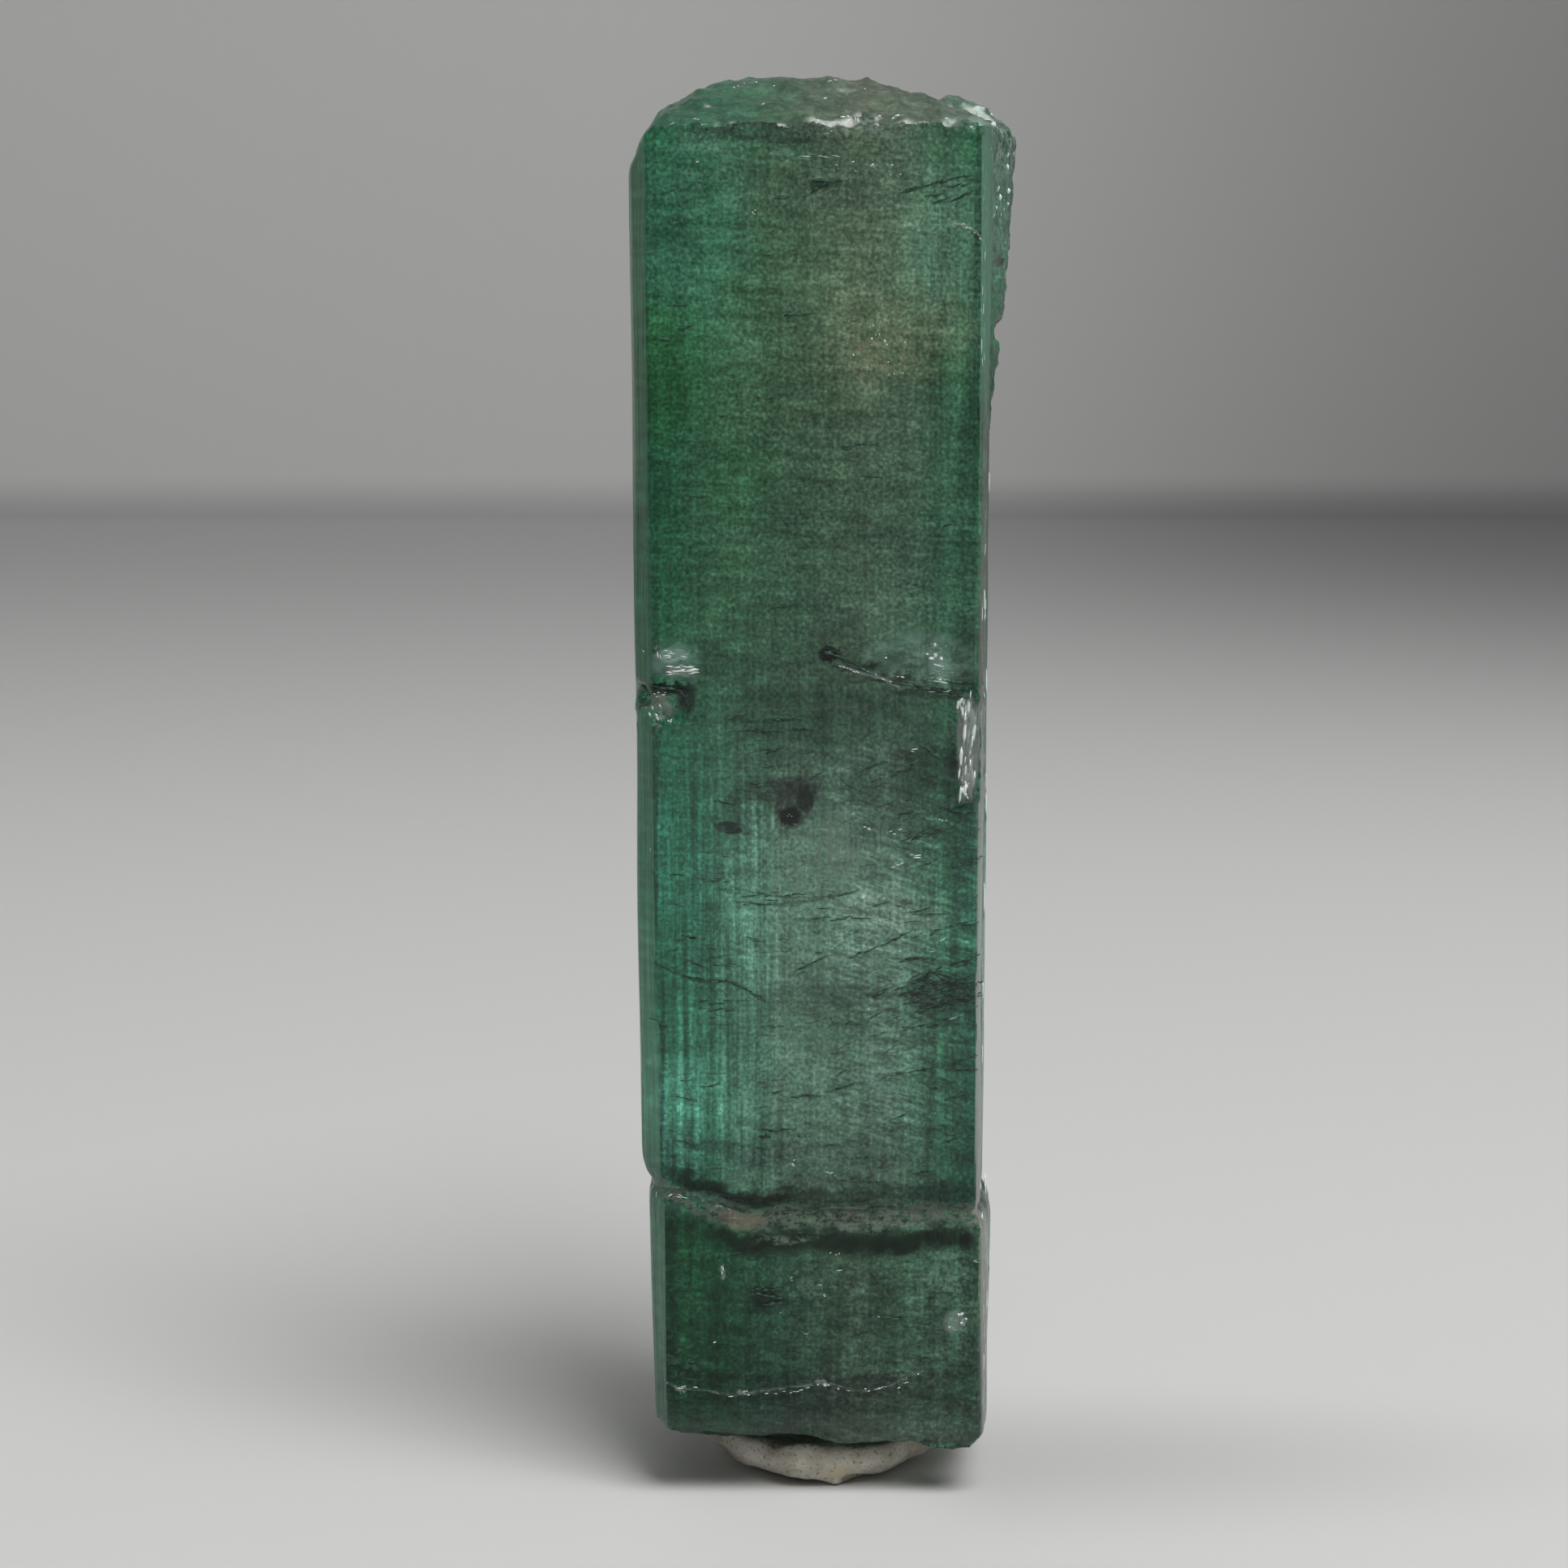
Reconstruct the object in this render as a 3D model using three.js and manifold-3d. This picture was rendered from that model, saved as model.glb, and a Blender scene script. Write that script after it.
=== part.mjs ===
// A broken and healed tourmaline prism standing in a dab of mineral putty.
// Millimetres, +Z up, the broad front face looks along -Y, and the table is z = 0.

import * as THREE from "three";
import { ImprovedNoise } from "three/addons/math/ImprovedNoise.js";
import { mergeVertices } from "three/addons/utils/BufferGeometryUtils.js";
import Module from "manifold-3d";

const wasm = await Module();
wasm.setup();
const perlin = new ImprovedNoise();

// ---- driving dimensions -------------------------------------------------------------------

const FRONT_Y = -3.9;
const CROWN_TOP = 41.5;
const FOOT_HEIGHT = 1.62;
const FRACTURE_HEIGHT = 8.9;
const SEAT_GAP = 0.3;

// The prism's section at its foot, anticlockwise from the front left corner. Each corner says
// how many strips reach the next one, and how far growth ridges stand proud on them.
const SECTION = [
  { x: -4.7, y: FRONT_Y, strips: 10, ridge: 0 },
  { x: 4.7, y: FRONT_Y, strips: 1, ridge: 0 },
  { x: 4.92, y: -3.45, strips: 5, ridge: 0.06 },
  { x: 5.06, y: -0.9, strips: 4, ridge: 0.12 },
  { x: 5.1, y: 0.9, strips: 5, ridge: 0.12 },
  { x: 4.3, y: 2.9, strips: 4, ridge: 0.1 },
  { x: 3.2, y: 3.75, strips: 4, ridge: 0.06 },
  { x: 1.6, y: 4.12, strips: 6, ridge: 0.06 },
  { x: -1.6, y: 4.2, strips: 5, ridge: 0.06 },
  { x: -3.6, y: 3.95, strips: 3, ridge: 0.04 },
  { x: -4.55, y: 3.5, strips: 2, ridge: 0.04 },
  { x: -5.05, y: 2.6, strips: 6, ridge: 0.1 },
  { x: -5.15, y: -1.4, strips: 4, ridge: 0.05 },
  { x: -5.1, y: -3.3, strips: 1, ridge: 0 },
];
const SECTION_LEFT = -5.1;
const SECTION_RIGHT = 4.92;

// How the edges run up the prism: pairs of height and x.
const FRONT_LEFT_EDGE = [[0, -4.3], [8.6, -4.45], [9.5, -4.5], [16, -4.6], [30, -4.75], [42, -4.8]];
const FRONT_RIGHT_EDGE = [[0, 5.0], [8.3, 4.9], [9.1, 4.76], [20, 4.69], [34, 4.64], [42, 4.55]];
const LEFT_SIDE = [[0, -4.62], [6, -4.8], [9.0, -4.86], [9.7, -5.04], [20, -5.16], [42, -5.26]];
const RIGHT_SIDE = [[0, 5.08], [6, 5.15], [8.35, 5.16], [8.9, 4.9], [30, 4.9], [42, 4.96]];

// The lobe grown on the back right corner: pairs of height and how far it stands out there.
const LOBE_REACH = [[0, 0], [30.6, 0], [32.2, 0.14], [33.2, 0.3], [34.5, 0.38], [36.7, 0.52], [42, 0.74]];

// Level heights of the prism's rings, closer together about the healed fracture.
const LEVELS = [
  -1, 2.6, 3.6, 4.4, 5.4, 6.4, 7.3, 8.0, 8.45, 8.7, FRACTURE_HEIGHT, 9.1, 9.35, 9.8, 10.6, 11.8,
  13.2, 14.6, 16, 17.4, 18.8, 20.2, 21.6, 23, 24.2, 25.4, 26.8, 28.2, 29.6, 30.8, 31.8, 32.8,
  33.8, 34.8, 35.9, 37, 38, 39, 40, 43,
];

// The seam of the healed fracture sags from the left edge: pairs of x and rise above its level.
const SEAM_RISE = [[-5.2, 0.62], [-4.2, 0.42], [-2.4, -0.3], [-0.5, -0.22], [2, -0.1], [5.2, -0.28]];
const SEAM_DEPTH = 0.16;
const SEAM_REACH = 3.2;

// The crown, the rough top: pairs of x, or of y, and height.
const CROWN_ACROSS = [
  [-5.6, 38.0], [-5.15, 39.2], [-4.75, 39.95], [-4.3, 40.5], [-3.1, 41.25], [-1.9, 41.5],
  [0, CROWN_TOP + 0.1], [1.5, 41.4], [2.7, 40.95], [3.3, 40.65], [4.1, 40.45], [4.7, 40.1], [5.9, 39.8],
];
const CROWN_DEEP = [
  [-4.2, 39.85], [-3.75, 40.05], [-3.5, 40.35], [-2.6, 40.8], [-1.6, 41.35], [0, CROWN_TOP + 0.1],
  [1.8, CROWN_TOP], [3, 40.8], [4.4, 39.4],
];
const LOBE_CROWN = [[2.6, 40.4], [3.4, 40.75], [4.4, 40.8], [4.9, 40.55], [5.35, 40.1], [5.65, 39.4], [6, 38.5]];
const LOBE_FRONT_Y = -1.1;

// The jagged foot: height of the break at the front face, pairs of x and height.
const FOOT_FRONT = [
  [-5.2, 2.7], [-4.62, 2.2], [-4.3, 1.98], [-2.9, 1.91], [-1.5, 1.84], [0.42, 1.88], [0.6, 1.55],
  [2.9, 1.7], [3.5, 1.52], [4.4, 1.44], [4.85, 1.6], [5.2, 2.1],
];
const FOOT_LEDGE_DEPTH = 0.6;

const DAB_RADIUS = 3.65;
const DAB_FOOT_RADIUS = 2.75;
const DAB_X = 0.35;
const DAB_Y = 0.08;
// The four blunt corners that the dab was pressed flat on, around its underside.
const DAB_SOLE = [[0.65, -3.2], [3.3, 0], [0.3, 3.45], [-2.7, 0.1]];
const SOLE_HEIGHT = 0.1;

// ---- helpers ------------------------------------------------------------------------------

// The value at a place along a list of pairs, straight between them.
function along(pairs, at) {
  if (at <= pairs[0][0]) return pairs[0][1];
  for (let i = 1; i < pairs.length; i += 1) {
    const [start, low] = pairs[i - 1];
    const [end, high] = pairs[i];
    if (at <= end) return THREE.MathUtils.mapLinear(at, start, end, low, high);
  }
  return pairs[pairs.length - 1][1];
}

// A smaller of two values, with the corner between them eased over a distance.
function easedMin(a, b, ease) {
  const h = Math.max(ease - Math.abs(a - b), 0) / ease;
  return Math.min(a, b) - (h * h * ease) / 4;
}

function solid(geometry) {
  const bare = geometry.clone();
  bare.deleteAttribute("normal");
  bare.deleteAttribute("uv");
  const merged = mergeVertices(bare, 1e-4);
  const vertProperties = new Float32Array(merged.attributes.position.array);
  const triVerts = new Uint32Array(merged.index.array);
  return new wasm.Manifold(new wasm.Mesh({ numProp: 3, vertProperties, triVerts }));
}

function meshOf(body, name, material) {
  const { vertProperties, triVerts } = body.getMesh();
  const geometry = new THREE.BufferGeometry();
  geometry.setAttribute("position", new THREE.BufferAttribute(vertProperties, 3));
  geometry.setIndex(new THREE.BufferAttribute(triVerts, 1));
  geometry.computeVertexNormals();
  const mesh = new THREE.Mesh(geometry, material);
  mesh.name = name;
  return mesh;
}

// Moves every vertex of a geometry to where place(x, y, z) puts it.
function moved(geometry, place) {
  const position = geometry.attributes.position;
  for (let i = 0; i < position.count; i += 1) {
    position.setXYZ(i, ...place(position.getX(i), position.getY(i), position.getZ(i)));
  }
  return geometry;
}

// ---- the crystal --------------------------------------------------------------------------

function sectionOutline() {
  const points = [];
  SECTION.forEach((corner, index) => {
    const next = SECTION[(index + 1) % SECTION.length];
    const run = new THREE.Vector2(next.x - corner.x, next.y - corner.y);
    const outward = new THREE.Vector2(run.y, -run.x).normalize();
    for (let k = 0; k < corner.strips; k += 1) {
      const share = k / corner.strips;
      const rough = perlin.noise(index * 3.7 + k * 0.83, 5.3, index * 1.9);
      const proud = k === 0 ? 0 : corner.ridge * 1.7 * rough;
      points.push(new THREE.Vector2(
        corner.x + run.x * share + outward.x * proud,
        corner.y + run.y * share + outward.y * proud,
      ));
    }
  });
  return new THREE.Shape(points);
}

// Where a point of the straight prism lies on the real one.
function onPrism(x, y, level) {
  const flatZ = LEVELS[Math.round(level)];
  const frontness = THREE.MathUtils.clamp((-3.45 - y) / (-3.45 - FRONT_Y), 0, 1);
  const share = (x - SECTION_LEFT) / (SECTION_RIGHT - SECTION_LEFT);
  const frontShare = (x - SECTION[0].x) / (SECTION[1].x - SECTION[0].x);
  const sideX = THREE.MathUtils.lerp(along(LEFT_SIDE, flatZ), along(RIGHT_SIDE, flatZ), share);
  const frontX = THREE.MathUtils.lerp(
    along(FRONT_LEFT_EDGE, flatZ), along(FRONT_RIGHT_EDGE, flatZ), frontShare,
  );
  const lobeHere = THREE.MathUtils.smoothstep(x, 2.2, 5) * THREE.MathUtils.smoothstep(y, -3.3, 0.6);
  const wander = perlin.noise(x * 0.9, y * 0.9, flatZ * 0.16) * 0.1 * (1 - frontness);
  const fromAxis = Math.hypot(x, y) || 1;
  const pinch = SEAM_DEPTH * Math.exp(-(((flatZ - FRACTURE_HEIGHT) / 0.17) ** 2));
  const nick = pinch * (1 + 0.8 * perlin.noise(x * 1.3, y * 1.3, 9.1));
  const reach = 1 - Math.min(Math.abs(flatZ - FRACTURE_HEIGHT) / SEAM_REACH, 1);
  const rough = 0.12 * perlin.noise(x * 1.1, y * 1.1, 2.7);
  return [
    THREE.MathUtils.lerp(sideX, frontX, frontness)
      + lobeHere * along(LOBE_REACH, flatZ) + (wander - nick) * (x / fromAxis),
    y + (wander - nick) * (frontness === 1 ? -1 : y / fromAxis),
    flatZ + reach * (along(SEAM_RISE, x) + rough),
  ];
}

function prism() {
  const steps = LEVELS.length - 1;
  const straight = new THREE.ExtrudeGeometry(sectionOutline(), { depth: steps, steps, bevelEnabled: false });
  return solid(moved(straight, onPrism));
}

// A block whose lower or upper side is a rough break, for cutting the prism's ends.
function breakBlock(width, depth, columns, rows, farZ, height) {
  const block = new THREE.BoxGeometry(width, depth, 2, columns, rows, 1);
  const farSide = Math.sign(farZ - height(0, 0));
  return solid(moved(block, (x, y, z) => {
    if (Math.sign(z) === farSide) return [x, y, farZ];
    const jogX = x + 0.13 * perlin.noise(x * 2.1, y * 2.1, 17.3);
    const jogY = y + 0.13 * perlin.noise(x * 2.1, y * 2.1, 31.9);
    return [jogX, jogY, height(jogX, jogY)];
  }));
}

// Height of the rough crown over a place.
function crownHeight(x, y) {
  const main = easedMin(along(CROWN_ACROSS, x), along(CROWN_DEEP, y), 0.5);
  const lobe = easedMin(along(LOBE_CROWN, x), along(CROWN_DEEP, y) + 0.3, 0.4);
  const onLobe = x > 2.6 && y > LOBE_FRONT_Y;
  const whole = onLobe ? Math.max(main, lobe) : main;
  const hills = 0.16 * perlin.noise(x * 0.8, y * 0.8, 4.4);
  const etched = 0.2 * perlin.noise(x * 1.9, y * 2.3, 8.2);
  const ledges = Math.round((whole + etched) / 0.22) * 0.22;
  return Math.min(THREE.MathUtils.lerp(whole + etched, ledges, 0.6) + hills, CROWN_TOP);
}

// Height of the jagged foot over a place.
function footHeight(x, y) {
  const behind = THREE.MathUtils.smoothstep(y, FRONT_Y + FOOT_LEDGE_DEPTH * 0.5, FRONT_Y + FOOT_LEDGE_DEPTH);
  const under = FOOT_HEIGHT + 0.12 * perlin.noise(x * 0.7, y * 0.7, 1.2) + (y > 2.6 ? 0.35 : 0);
  const corner = THREE.MathUtils.smoothstep(Math.hypot(x / 5.1, y / 4.4), 0.93, 1.25) * 0.8;
  const rough = 0.05 * perlin.noise(x * 2.3, y * 2.3, 6.1);
  return THREE.MathUtils.lerp(along(FOOT_FRONT, x), under + corner, behind) + rough;
}

// A shell-shaped chip: a rough, squashed ball to take away.
function chip(x, y, z, wide, deep, tall, seed) {
  const ball = new THREE.IcosahedronGeometry(1, 2);
  moved(ball, (a, b, c) => {
    const lump = 1 + 0.22 * perlin.noise(a * 1.7 + seed, b * 1.7, c * 1.7);
    return [x + a * lump * wide, y + b * lump * deep, z + c * lump * tall];
  });
  return solid(ball);
}

function crystal(material) {
  const crownBlock = breakBlock(13, 11, 34, 27, 46, crownHeight);
  const footBlock = breakBlock(13, 11, 26, 18, -3, footHeight);
  let body = prism().subtract(crownBlock).subtract(footBlock);
  const chips = [
    chip(-5.25, -3.5, 23.95, 0.6, 0.75, 0.42, 1.4),
    chip(-4.75, -4.1, 23.6, 0.55, 0.36, 0.3, 3.1),
    chip(4.75, -4.05, 22.5, 0.55, 0.3, 1.55, 5.2),
    chip(5.35, -1.6, 35.9, 0.34, 1.2, 0.5, 7.7),
    chip(5.42, -0.2, 34.2, 0.38, 1.5, 0.45, 9.6),
    chip(5.3, 0.6, 32.5, 0.36, 1.4, 0.6, 11.3),
    chip(-5.05, -3.1, 9.42, 0.36, 0.8, 0.26, 13.8),
    chip(5.35, -3.0, 8.62, 0.26, 0.8, 0.16, 17.9),
  ];
  for (const flake of chips) body = body.subtract(flake);
  return meshOf(body, "tourmaline_crystal", material);
}

// ---- the putty dab ------------------------------------------------------------------------

function dab(material) {
  const roof = FOOT_HEIGHT + 0.6;
  const profile = [
    new THREE.Vector2(0, SOLE_HEIGHT),
    new THREE.Vector2(DAB_FOOT_RADIUS, SOLE_HEIGHT),
    new THREE.Vector2(THREE.MathUtils.lerp(DAB_FOOT_RADIUS, DAB_RADIUS, 0.62), 0.34),
    new THREE.Vector2(DAB_RADIUS, 0.78),
    new THREE.Vector2(DAB_RADIUS * 0.99, 1.1),
    new THREE.Vector2(DAB_RADIUS * 0.95, roof),
    new THREE.Vector2(0, roof),
  ];
  const round = new THREE.LatheGeometry(profile, 44);
  round.rotateX(Math.PI / 2);
  moved(round, (x, y, z) => {
    const lump = 1 + 0.05 * perlin.noise(x * 0.6, y * 0.6, 3.3) + 0.02 * perlin.noise(x * 1.9, y * 1.9, z);
    return [DAB_X + x * lump, DAB_Y + y * lump, z];
  });
  const corners = new THREE.Shape(DAB_SOLE.map(([x, y]) => new THREE.Vector2(x, y)));
  const sole = new THREE.ExtrudeGeometry(corners, { depth: SOLE_HEIGHT * 3, bevelEnabled: false });
  const above = breakBlock(13, 11, 26, 18, 6, (x, y) => footHeight(x, y) - SEAT_GAP);
  return meshOf(solid(round).add(solid(sole)).subtract(above), "putty_dab", material);
}

// ---- the whole ----------------------------------------------------------------------------

const tourmaline = new THREE.MeshStandardMaterial({ color: 0x2f6f5a, roughness: 0.12, metalness: 0 });
const putty = new THREE.MeshStandardMaterial({ color: 0xb5ada0, roughness: 0.9, metalness: 0 });

const specimen = new THREE.Group();
specimen.add(crystal(tourmaline));
specimen.add(dab(putty));

// The origin is the middle of the specimen's own box, on the table.
const middle = new THREE.Box3().setFromObject(specimen).getCenter(new THREE.Vector3());
specimen.position.set(-middle.x, -middle.y, 0);

export default specimen;
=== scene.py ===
import math
import random

import bmesh
import bpy
from mathutils import Matrix, Vector, noise


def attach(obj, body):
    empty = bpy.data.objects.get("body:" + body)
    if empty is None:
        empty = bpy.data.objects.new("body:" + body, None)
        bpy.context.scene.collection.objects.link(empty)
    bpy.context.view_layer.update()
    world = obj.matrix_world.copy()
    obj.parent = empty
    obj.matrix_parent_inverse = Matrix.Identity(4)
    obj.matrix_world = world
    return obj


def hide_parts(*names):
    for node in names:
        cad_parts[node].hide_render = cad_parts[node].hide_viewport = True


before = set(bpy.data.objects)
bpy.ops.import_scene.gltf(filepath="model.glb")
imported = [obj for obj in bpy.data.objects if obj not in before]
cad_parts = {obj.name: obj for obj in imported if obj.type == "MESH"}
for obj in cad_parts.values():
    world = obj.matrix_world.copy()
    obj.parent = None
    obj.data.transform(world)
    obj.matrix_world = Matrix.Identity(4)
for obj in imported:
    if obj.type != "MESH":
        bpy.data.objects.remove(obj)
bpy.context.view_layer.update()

# ---- the crystal -----------------------------------------------------------------------------
# One prism of blue-green tourmaline, flat and glossy in front, grooved along its sides and back,
# etched on the crown and rough where it broke. It grew and healed as one piece, so it is one mesh:
# the solid remeshed finely, with its grooves and etching raised in the mesh.

MM = 0.001
VOXEL = 0.14 * MM
CROWN_START = 39.3 * MM
FOOT_END = 2.6 * MM
REFRACTION = 1.63


def merged_copy(node, name):
    """A new object with a copy of a node's mesh, its loose triangles joined."""
    piece = bpy.data.objects.new(name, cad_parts[node].data.copy())
    bpy.context.collection.objects.link(piece)
    joined = bmesh.new()
    joined.from_mesh(piece.data)
    bmesh.ops.remove_doubles(joined, verts=joined.verts, dist=0.001 * MM)
    joined.to_mesh(piece.data)
    joined.free()
    return piece


def made_mesh(piece):
    """Turns a piece's modifiers into its mesh."""
    shape = piece.evaluated_get(bpy.context.evaluated_depsgraph_get())
    mesh = bpy.data.meshes.new_from_object(shape)
    piece.modifiers.clear()
    piece.data = mesh
    return mesh


def grooves(along, z, width, seed):
    """A run of upright growth grooves across a face, from -1 to 1, that start and end slowly."""
    wander = noise.noise(Vector((along / (width * 9), z / (14 * MM), seed))) * width * 0.8
    return noise.noise(Vector(((along + wander) / width, z / (30 * MM), seed + 3.7)))


def grown_surface(place, normal):
    """How far the crystal's real surface stands out from the plain solid at a place."""
    x, y, z = place
    etched = abs(normal.z)
    right_splinter = y < -2.6 * MM and x > 3.75 * MM and 20.7 * MM < z < 24.4 * MM
    left_splinter = y < -2.6 * MM and x < -4.1 * MM and 23 * MM < z < 24.4 * MM
    chipped_lobe = y > -3 * MM and x > 4.7 * MM and z > 31 * MM
    if right_splinter or left_splinter or chipped_lobe:
        return noise.fractal(place / (0.45 * MM), 0.7, 2.1, 3) * 0.07 * MM
    if z > CROWN_START and etched > 0.35 or z < FOOT_END and etched > 0.5:
        coarse = noise.fractal(place / (0.9 * MM), 0.8, 2.1, 4)
        return coarse * 0.11 * MM
    if etched > 0.45:
        return noise.noise(place / (0.35 * MM)) * 0.03 * MM
    if normal.y < -0.97:
        fine = grooves(x, z, 0.28 * MM, 11.0)
        broad = grooves(x, z, 1.1 * MM, 23.0)
        return (fine * 0.007 + broad * 0.012) * MM
    around = math.atan2(y, x) * 5 * MM
    fine = grooves(around, z, 0.3 * MM, 31.0)
    broad = grooves(around, z, 1.2 * MM, 47.0)
    return (fine * 0.03 + broad * 0.05) * MM


crystal = merged_copy("tourmaline_crystal", "crystal")
remesh = crystal.modifiers.new("fine skin", "REMESH")
remesh.mode = "VOXEL"
remesh.voxel_size = VOXEL
mesh = made_mesh(crystal)
places = [vertex.co + vertex.normal * grown_surface(vertex.co, vertex.normal) for vertex in mesh.vertices]
mesh.vertices.foreach_set("co", [number for place in places for number in place])
mesh.update()
mesh.shade_smooth()
mesh.set_sharp_from_angle(angle=math.radians(32))


def add_node(tree, kind, inputs=(), **settings):
    """A new shader node with its settings, and with a value or a link in each socket named."""
    node = tree.nodes.new("ShaderNode" + kind)
    for name, value in settings.items():
        setattr(node, name, value)
    for socket, value in dict(inputs).items():
        if isinstance(value, bpy.types.NodeSocket):
            tree.links.new(value, node.inputs[socket])
        else:
            node.inputs[socket].default_value = value
    return node


def maths(tree, operation, *values):
    """The result of a maths node over values or links."""
    return add_node(tree, "Math", dict(enumerate(values)), operation=operation).outputs[0]


def product(tree, first, second):
    """Two values or links multiplied."""
    return maths(tree, "MULTIPLY", first, second)


def eased(tree, value, start, end, low=0.0, high=1.0):
    """A value that goes smoothly from low at start to high at end."""
    reach = {"Value": value, "From Min": start, "From Max": end, "To Min": low, "To Max": high}
    return add_node(tree, "MapRange", reach, interpolation_type="SMOOTHSTEP").outputs["Result"]


def mixed(tree, share, first, second, blend="MIX"):
    """Two colours mixed by a share."""
    mix = add_node(tree, "Mix", data_type="RGBA", blend_type=blend)
    for socket, value in ((0, share), (6, first), (7, second)):
        if isinstance(value, bpy.types.NodeSocket):
            tree.links.new(value, mix.inputs[socket])
        else:
            mix.inputs[socket].default_value = value
    return mix.outputs[2]


def share_of(tree, value, start, end):
    """How far a value has gone from start to end, from 0 to 1."""
    limits = {"Value": value, "From Min": start, "From Max": end}
    return add_node(tree, "MapRange", limits).outputs["Result"]


HALF_WIDTH_MM = 5.6


def across(tree, value, stops):
    """A colour that changes across the crystal: stops are millimetres and colours."""
    share = share_of(tree, value, -HALF_WIDTH_MM, HALF_WIDTH_MM)
    ramp = add_node(tree, "ValToRGB", {"Fac": share})
    points = ramp.color_ramp.elements
    points.remove(points[1])
    for index, (place, colour) in enumerate(stops):
        position = (place + HALF_WIDTH_MM) / (2 * HALF_WIDTH_MM)
        point = points[0] if index == 0 else points.new(position)
        point.position = position
        point.color = (*colour, 1)
    return ramp.outputs["Color"]


def flattened(tree, x, z):
    """The place across and up as one vector."""
    return add_node(tree, "CombineXYZ", {"X": x, "Y": z}).outputs[0]


def stretched(tree, vector, scale):
    """A vector whose parts are each multiplied by a number."""
    return add_node(tree, "VectorMath", {0: vector, 1: scale}, operation="MULTIPLY").outputs["Vector"]


def patch(tree, flat, centre, reach, edge=0.45, most=1.0):
    """How much a place is in a soft-edged oval, whose centre and reach are across and up."""
    local = stretched(tree, flat, (1 / reach[0], 1 / reach[1], 0))
    middle = (centre[0] / reach[0], centre[1] / reach[1], 0)
    away = add_node(tree, "VectorMath", {0: local, 1: middle}, operation="DISTANCE").outputs["Value"]
    return eased(tree, away, 1.0, 1.0 - edge, 0.0, most)


def started_material(name):
    """A new material, its node tree and its shader."""
    material = bpy.data.materials.new(name)
    material.use_nodes = True
    return material, material.node_tree, material.node_tree.nodes["Principled BSDF"]


def in_millimetres(tree):
    """The place on the piece in millimetres: the whole vector, and x, y and z apart."""
    spot = add_node(tree, "TexCoord").outputs["Object"]
    whole = stretched(tree, spot, (1 / MM, 1 / MM, 1 / MM))
    return whole, *add_node(tree, "SeparateXYZ", {"Vector": whole}).outputs


tourmaline, tree, shader = started_material("tourmaline")
shader.inputs["IOR"].default_value = REFRACTION
shader.inputs["Transmission Weight"].default_value = 0.78
shader.inputs["Specular IOR Level"].default_value = 0.15

in_mm, x_mm, y_mm, z_mm = in_millimetres(tree)


def swayed(tree, value, sway, reach):
    """A value moved up and down by a noise, by that reach in all."""
    return maths(tree, "ADD", value, product(tree, maths(tree, "SUBTRACT", sway, 0.5), reach))


wander = add_node(tree, "TexNoise", {"Vector": in_mm, "Scale": 0.8, "Detail": 1})
drift = add_node(tree, "SeparateColor", {"Color": wander.outputs["Color"]})
bent_x = swayed(tree, x_mm, drift.outputs["Red"], 1.2)
bent_z = swayed(tree, z_mm, drift.outputs["Green"], 1.6)
near_x = swayed(tree, x_mm, drift.outputs["Red"], 0.12)

# colour zones across the stone, above and below its middle and in the foot
upper = across(tree, near_x, [
    (-5.3, (0.06, 0.35, 0.17)), (-4.3, (0.1, 0.41, 0.22)), (-3.6, (0.135, 0.38, 0.22)),
    (-2.0, (0.18, 0.37, 0.23)), (1.0, (0.33, 0.43, 0.31)), (2.4, (0.29, 0.43, 0.31)),
    (3.2, (0.21, 0.45, 0.29)), (4.5, (0.11, 0.37, 0.22)),
])
middle = across(tree, near_x, [
    (-5.3, (0.06, 0.38, 0.25)), (-3.6, (0.09, 0.35, 0.25)), (-2.64, (0.17, 0.4, 0.3)),
    (-2.58, (0.19, 0.42, 0.33)), (-1.5, (0.21, 0.4, 0.32)), (-1.44, (0.23, 0.37, 0.3)),
    (2.0, (0.24, 0.37, 0.31)), (3.2, (0.13, 0.33, 0.23)), (4.5, (0.05, 0.28, 0.18)),
])
foot = across(tree, near_x, [
    (-5.3, (0.02, 0.13, 0.06)), (-3.0, (0.03, 0.14, 0.07)), (-1.6, (0.06, 0.16, 0.11)),
    (1.0, (0.13, 0.2, 0.15)), (3.4, (0.15, 0.3, 0.21)), (4.5, (0.11, 0.28, 0.18)),
])
zones = mixed(tree, eased(tree, bent_z, 20.0, 26.0), middle, upper)
zones = mixed(tree, eased(tree, z_mm, 9.2, 8.2), zones, foot)


def speckle(tree, vector, across_mm, up_mm, detail=4, roughness=0.6, turn=0.0):
    """Noise from 0 to 1 whose grains are that wide and high in millimetres, and lean by turn degrees."""
    if turn:
        turned = {"Vector": vector, "Rotation": (0, math.radians(turn), 0)}
        vector = add_node(tree, "Mapping", turned).outputs["Vector"]
    grains = stretched(tree, vector, (1 / across_mm, 1 / across_mm, 1 / up_mm))
    settings = {"Vector": grains, "Scale": 1, "Detail": detail, "Roughness": roughness}
    return add_node(tree, "TexNoise", settings).outputs["Fac"]


def clouded(tree, tone, layers):
    """A colour made darker and paler by layers of grains, each with its strength in stops."""
    stops = 0.0
    for grains, strength in layers:
        swing = product(tree, maths(tree, "SUBTRACT", grains, 0.5), strength)
        stops = maths(tree, "ADD", stops, swing)
    gain = maths(tree, "POWER", 2.0, stops)
    grey = add_node(tree, "CombineColor", {"Red": gain, "Green": gain, "Blue": gain}).outputs["Color"]
    return mixed(tree, 1.0, tone, grey, "MULTIPLY")


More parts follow.
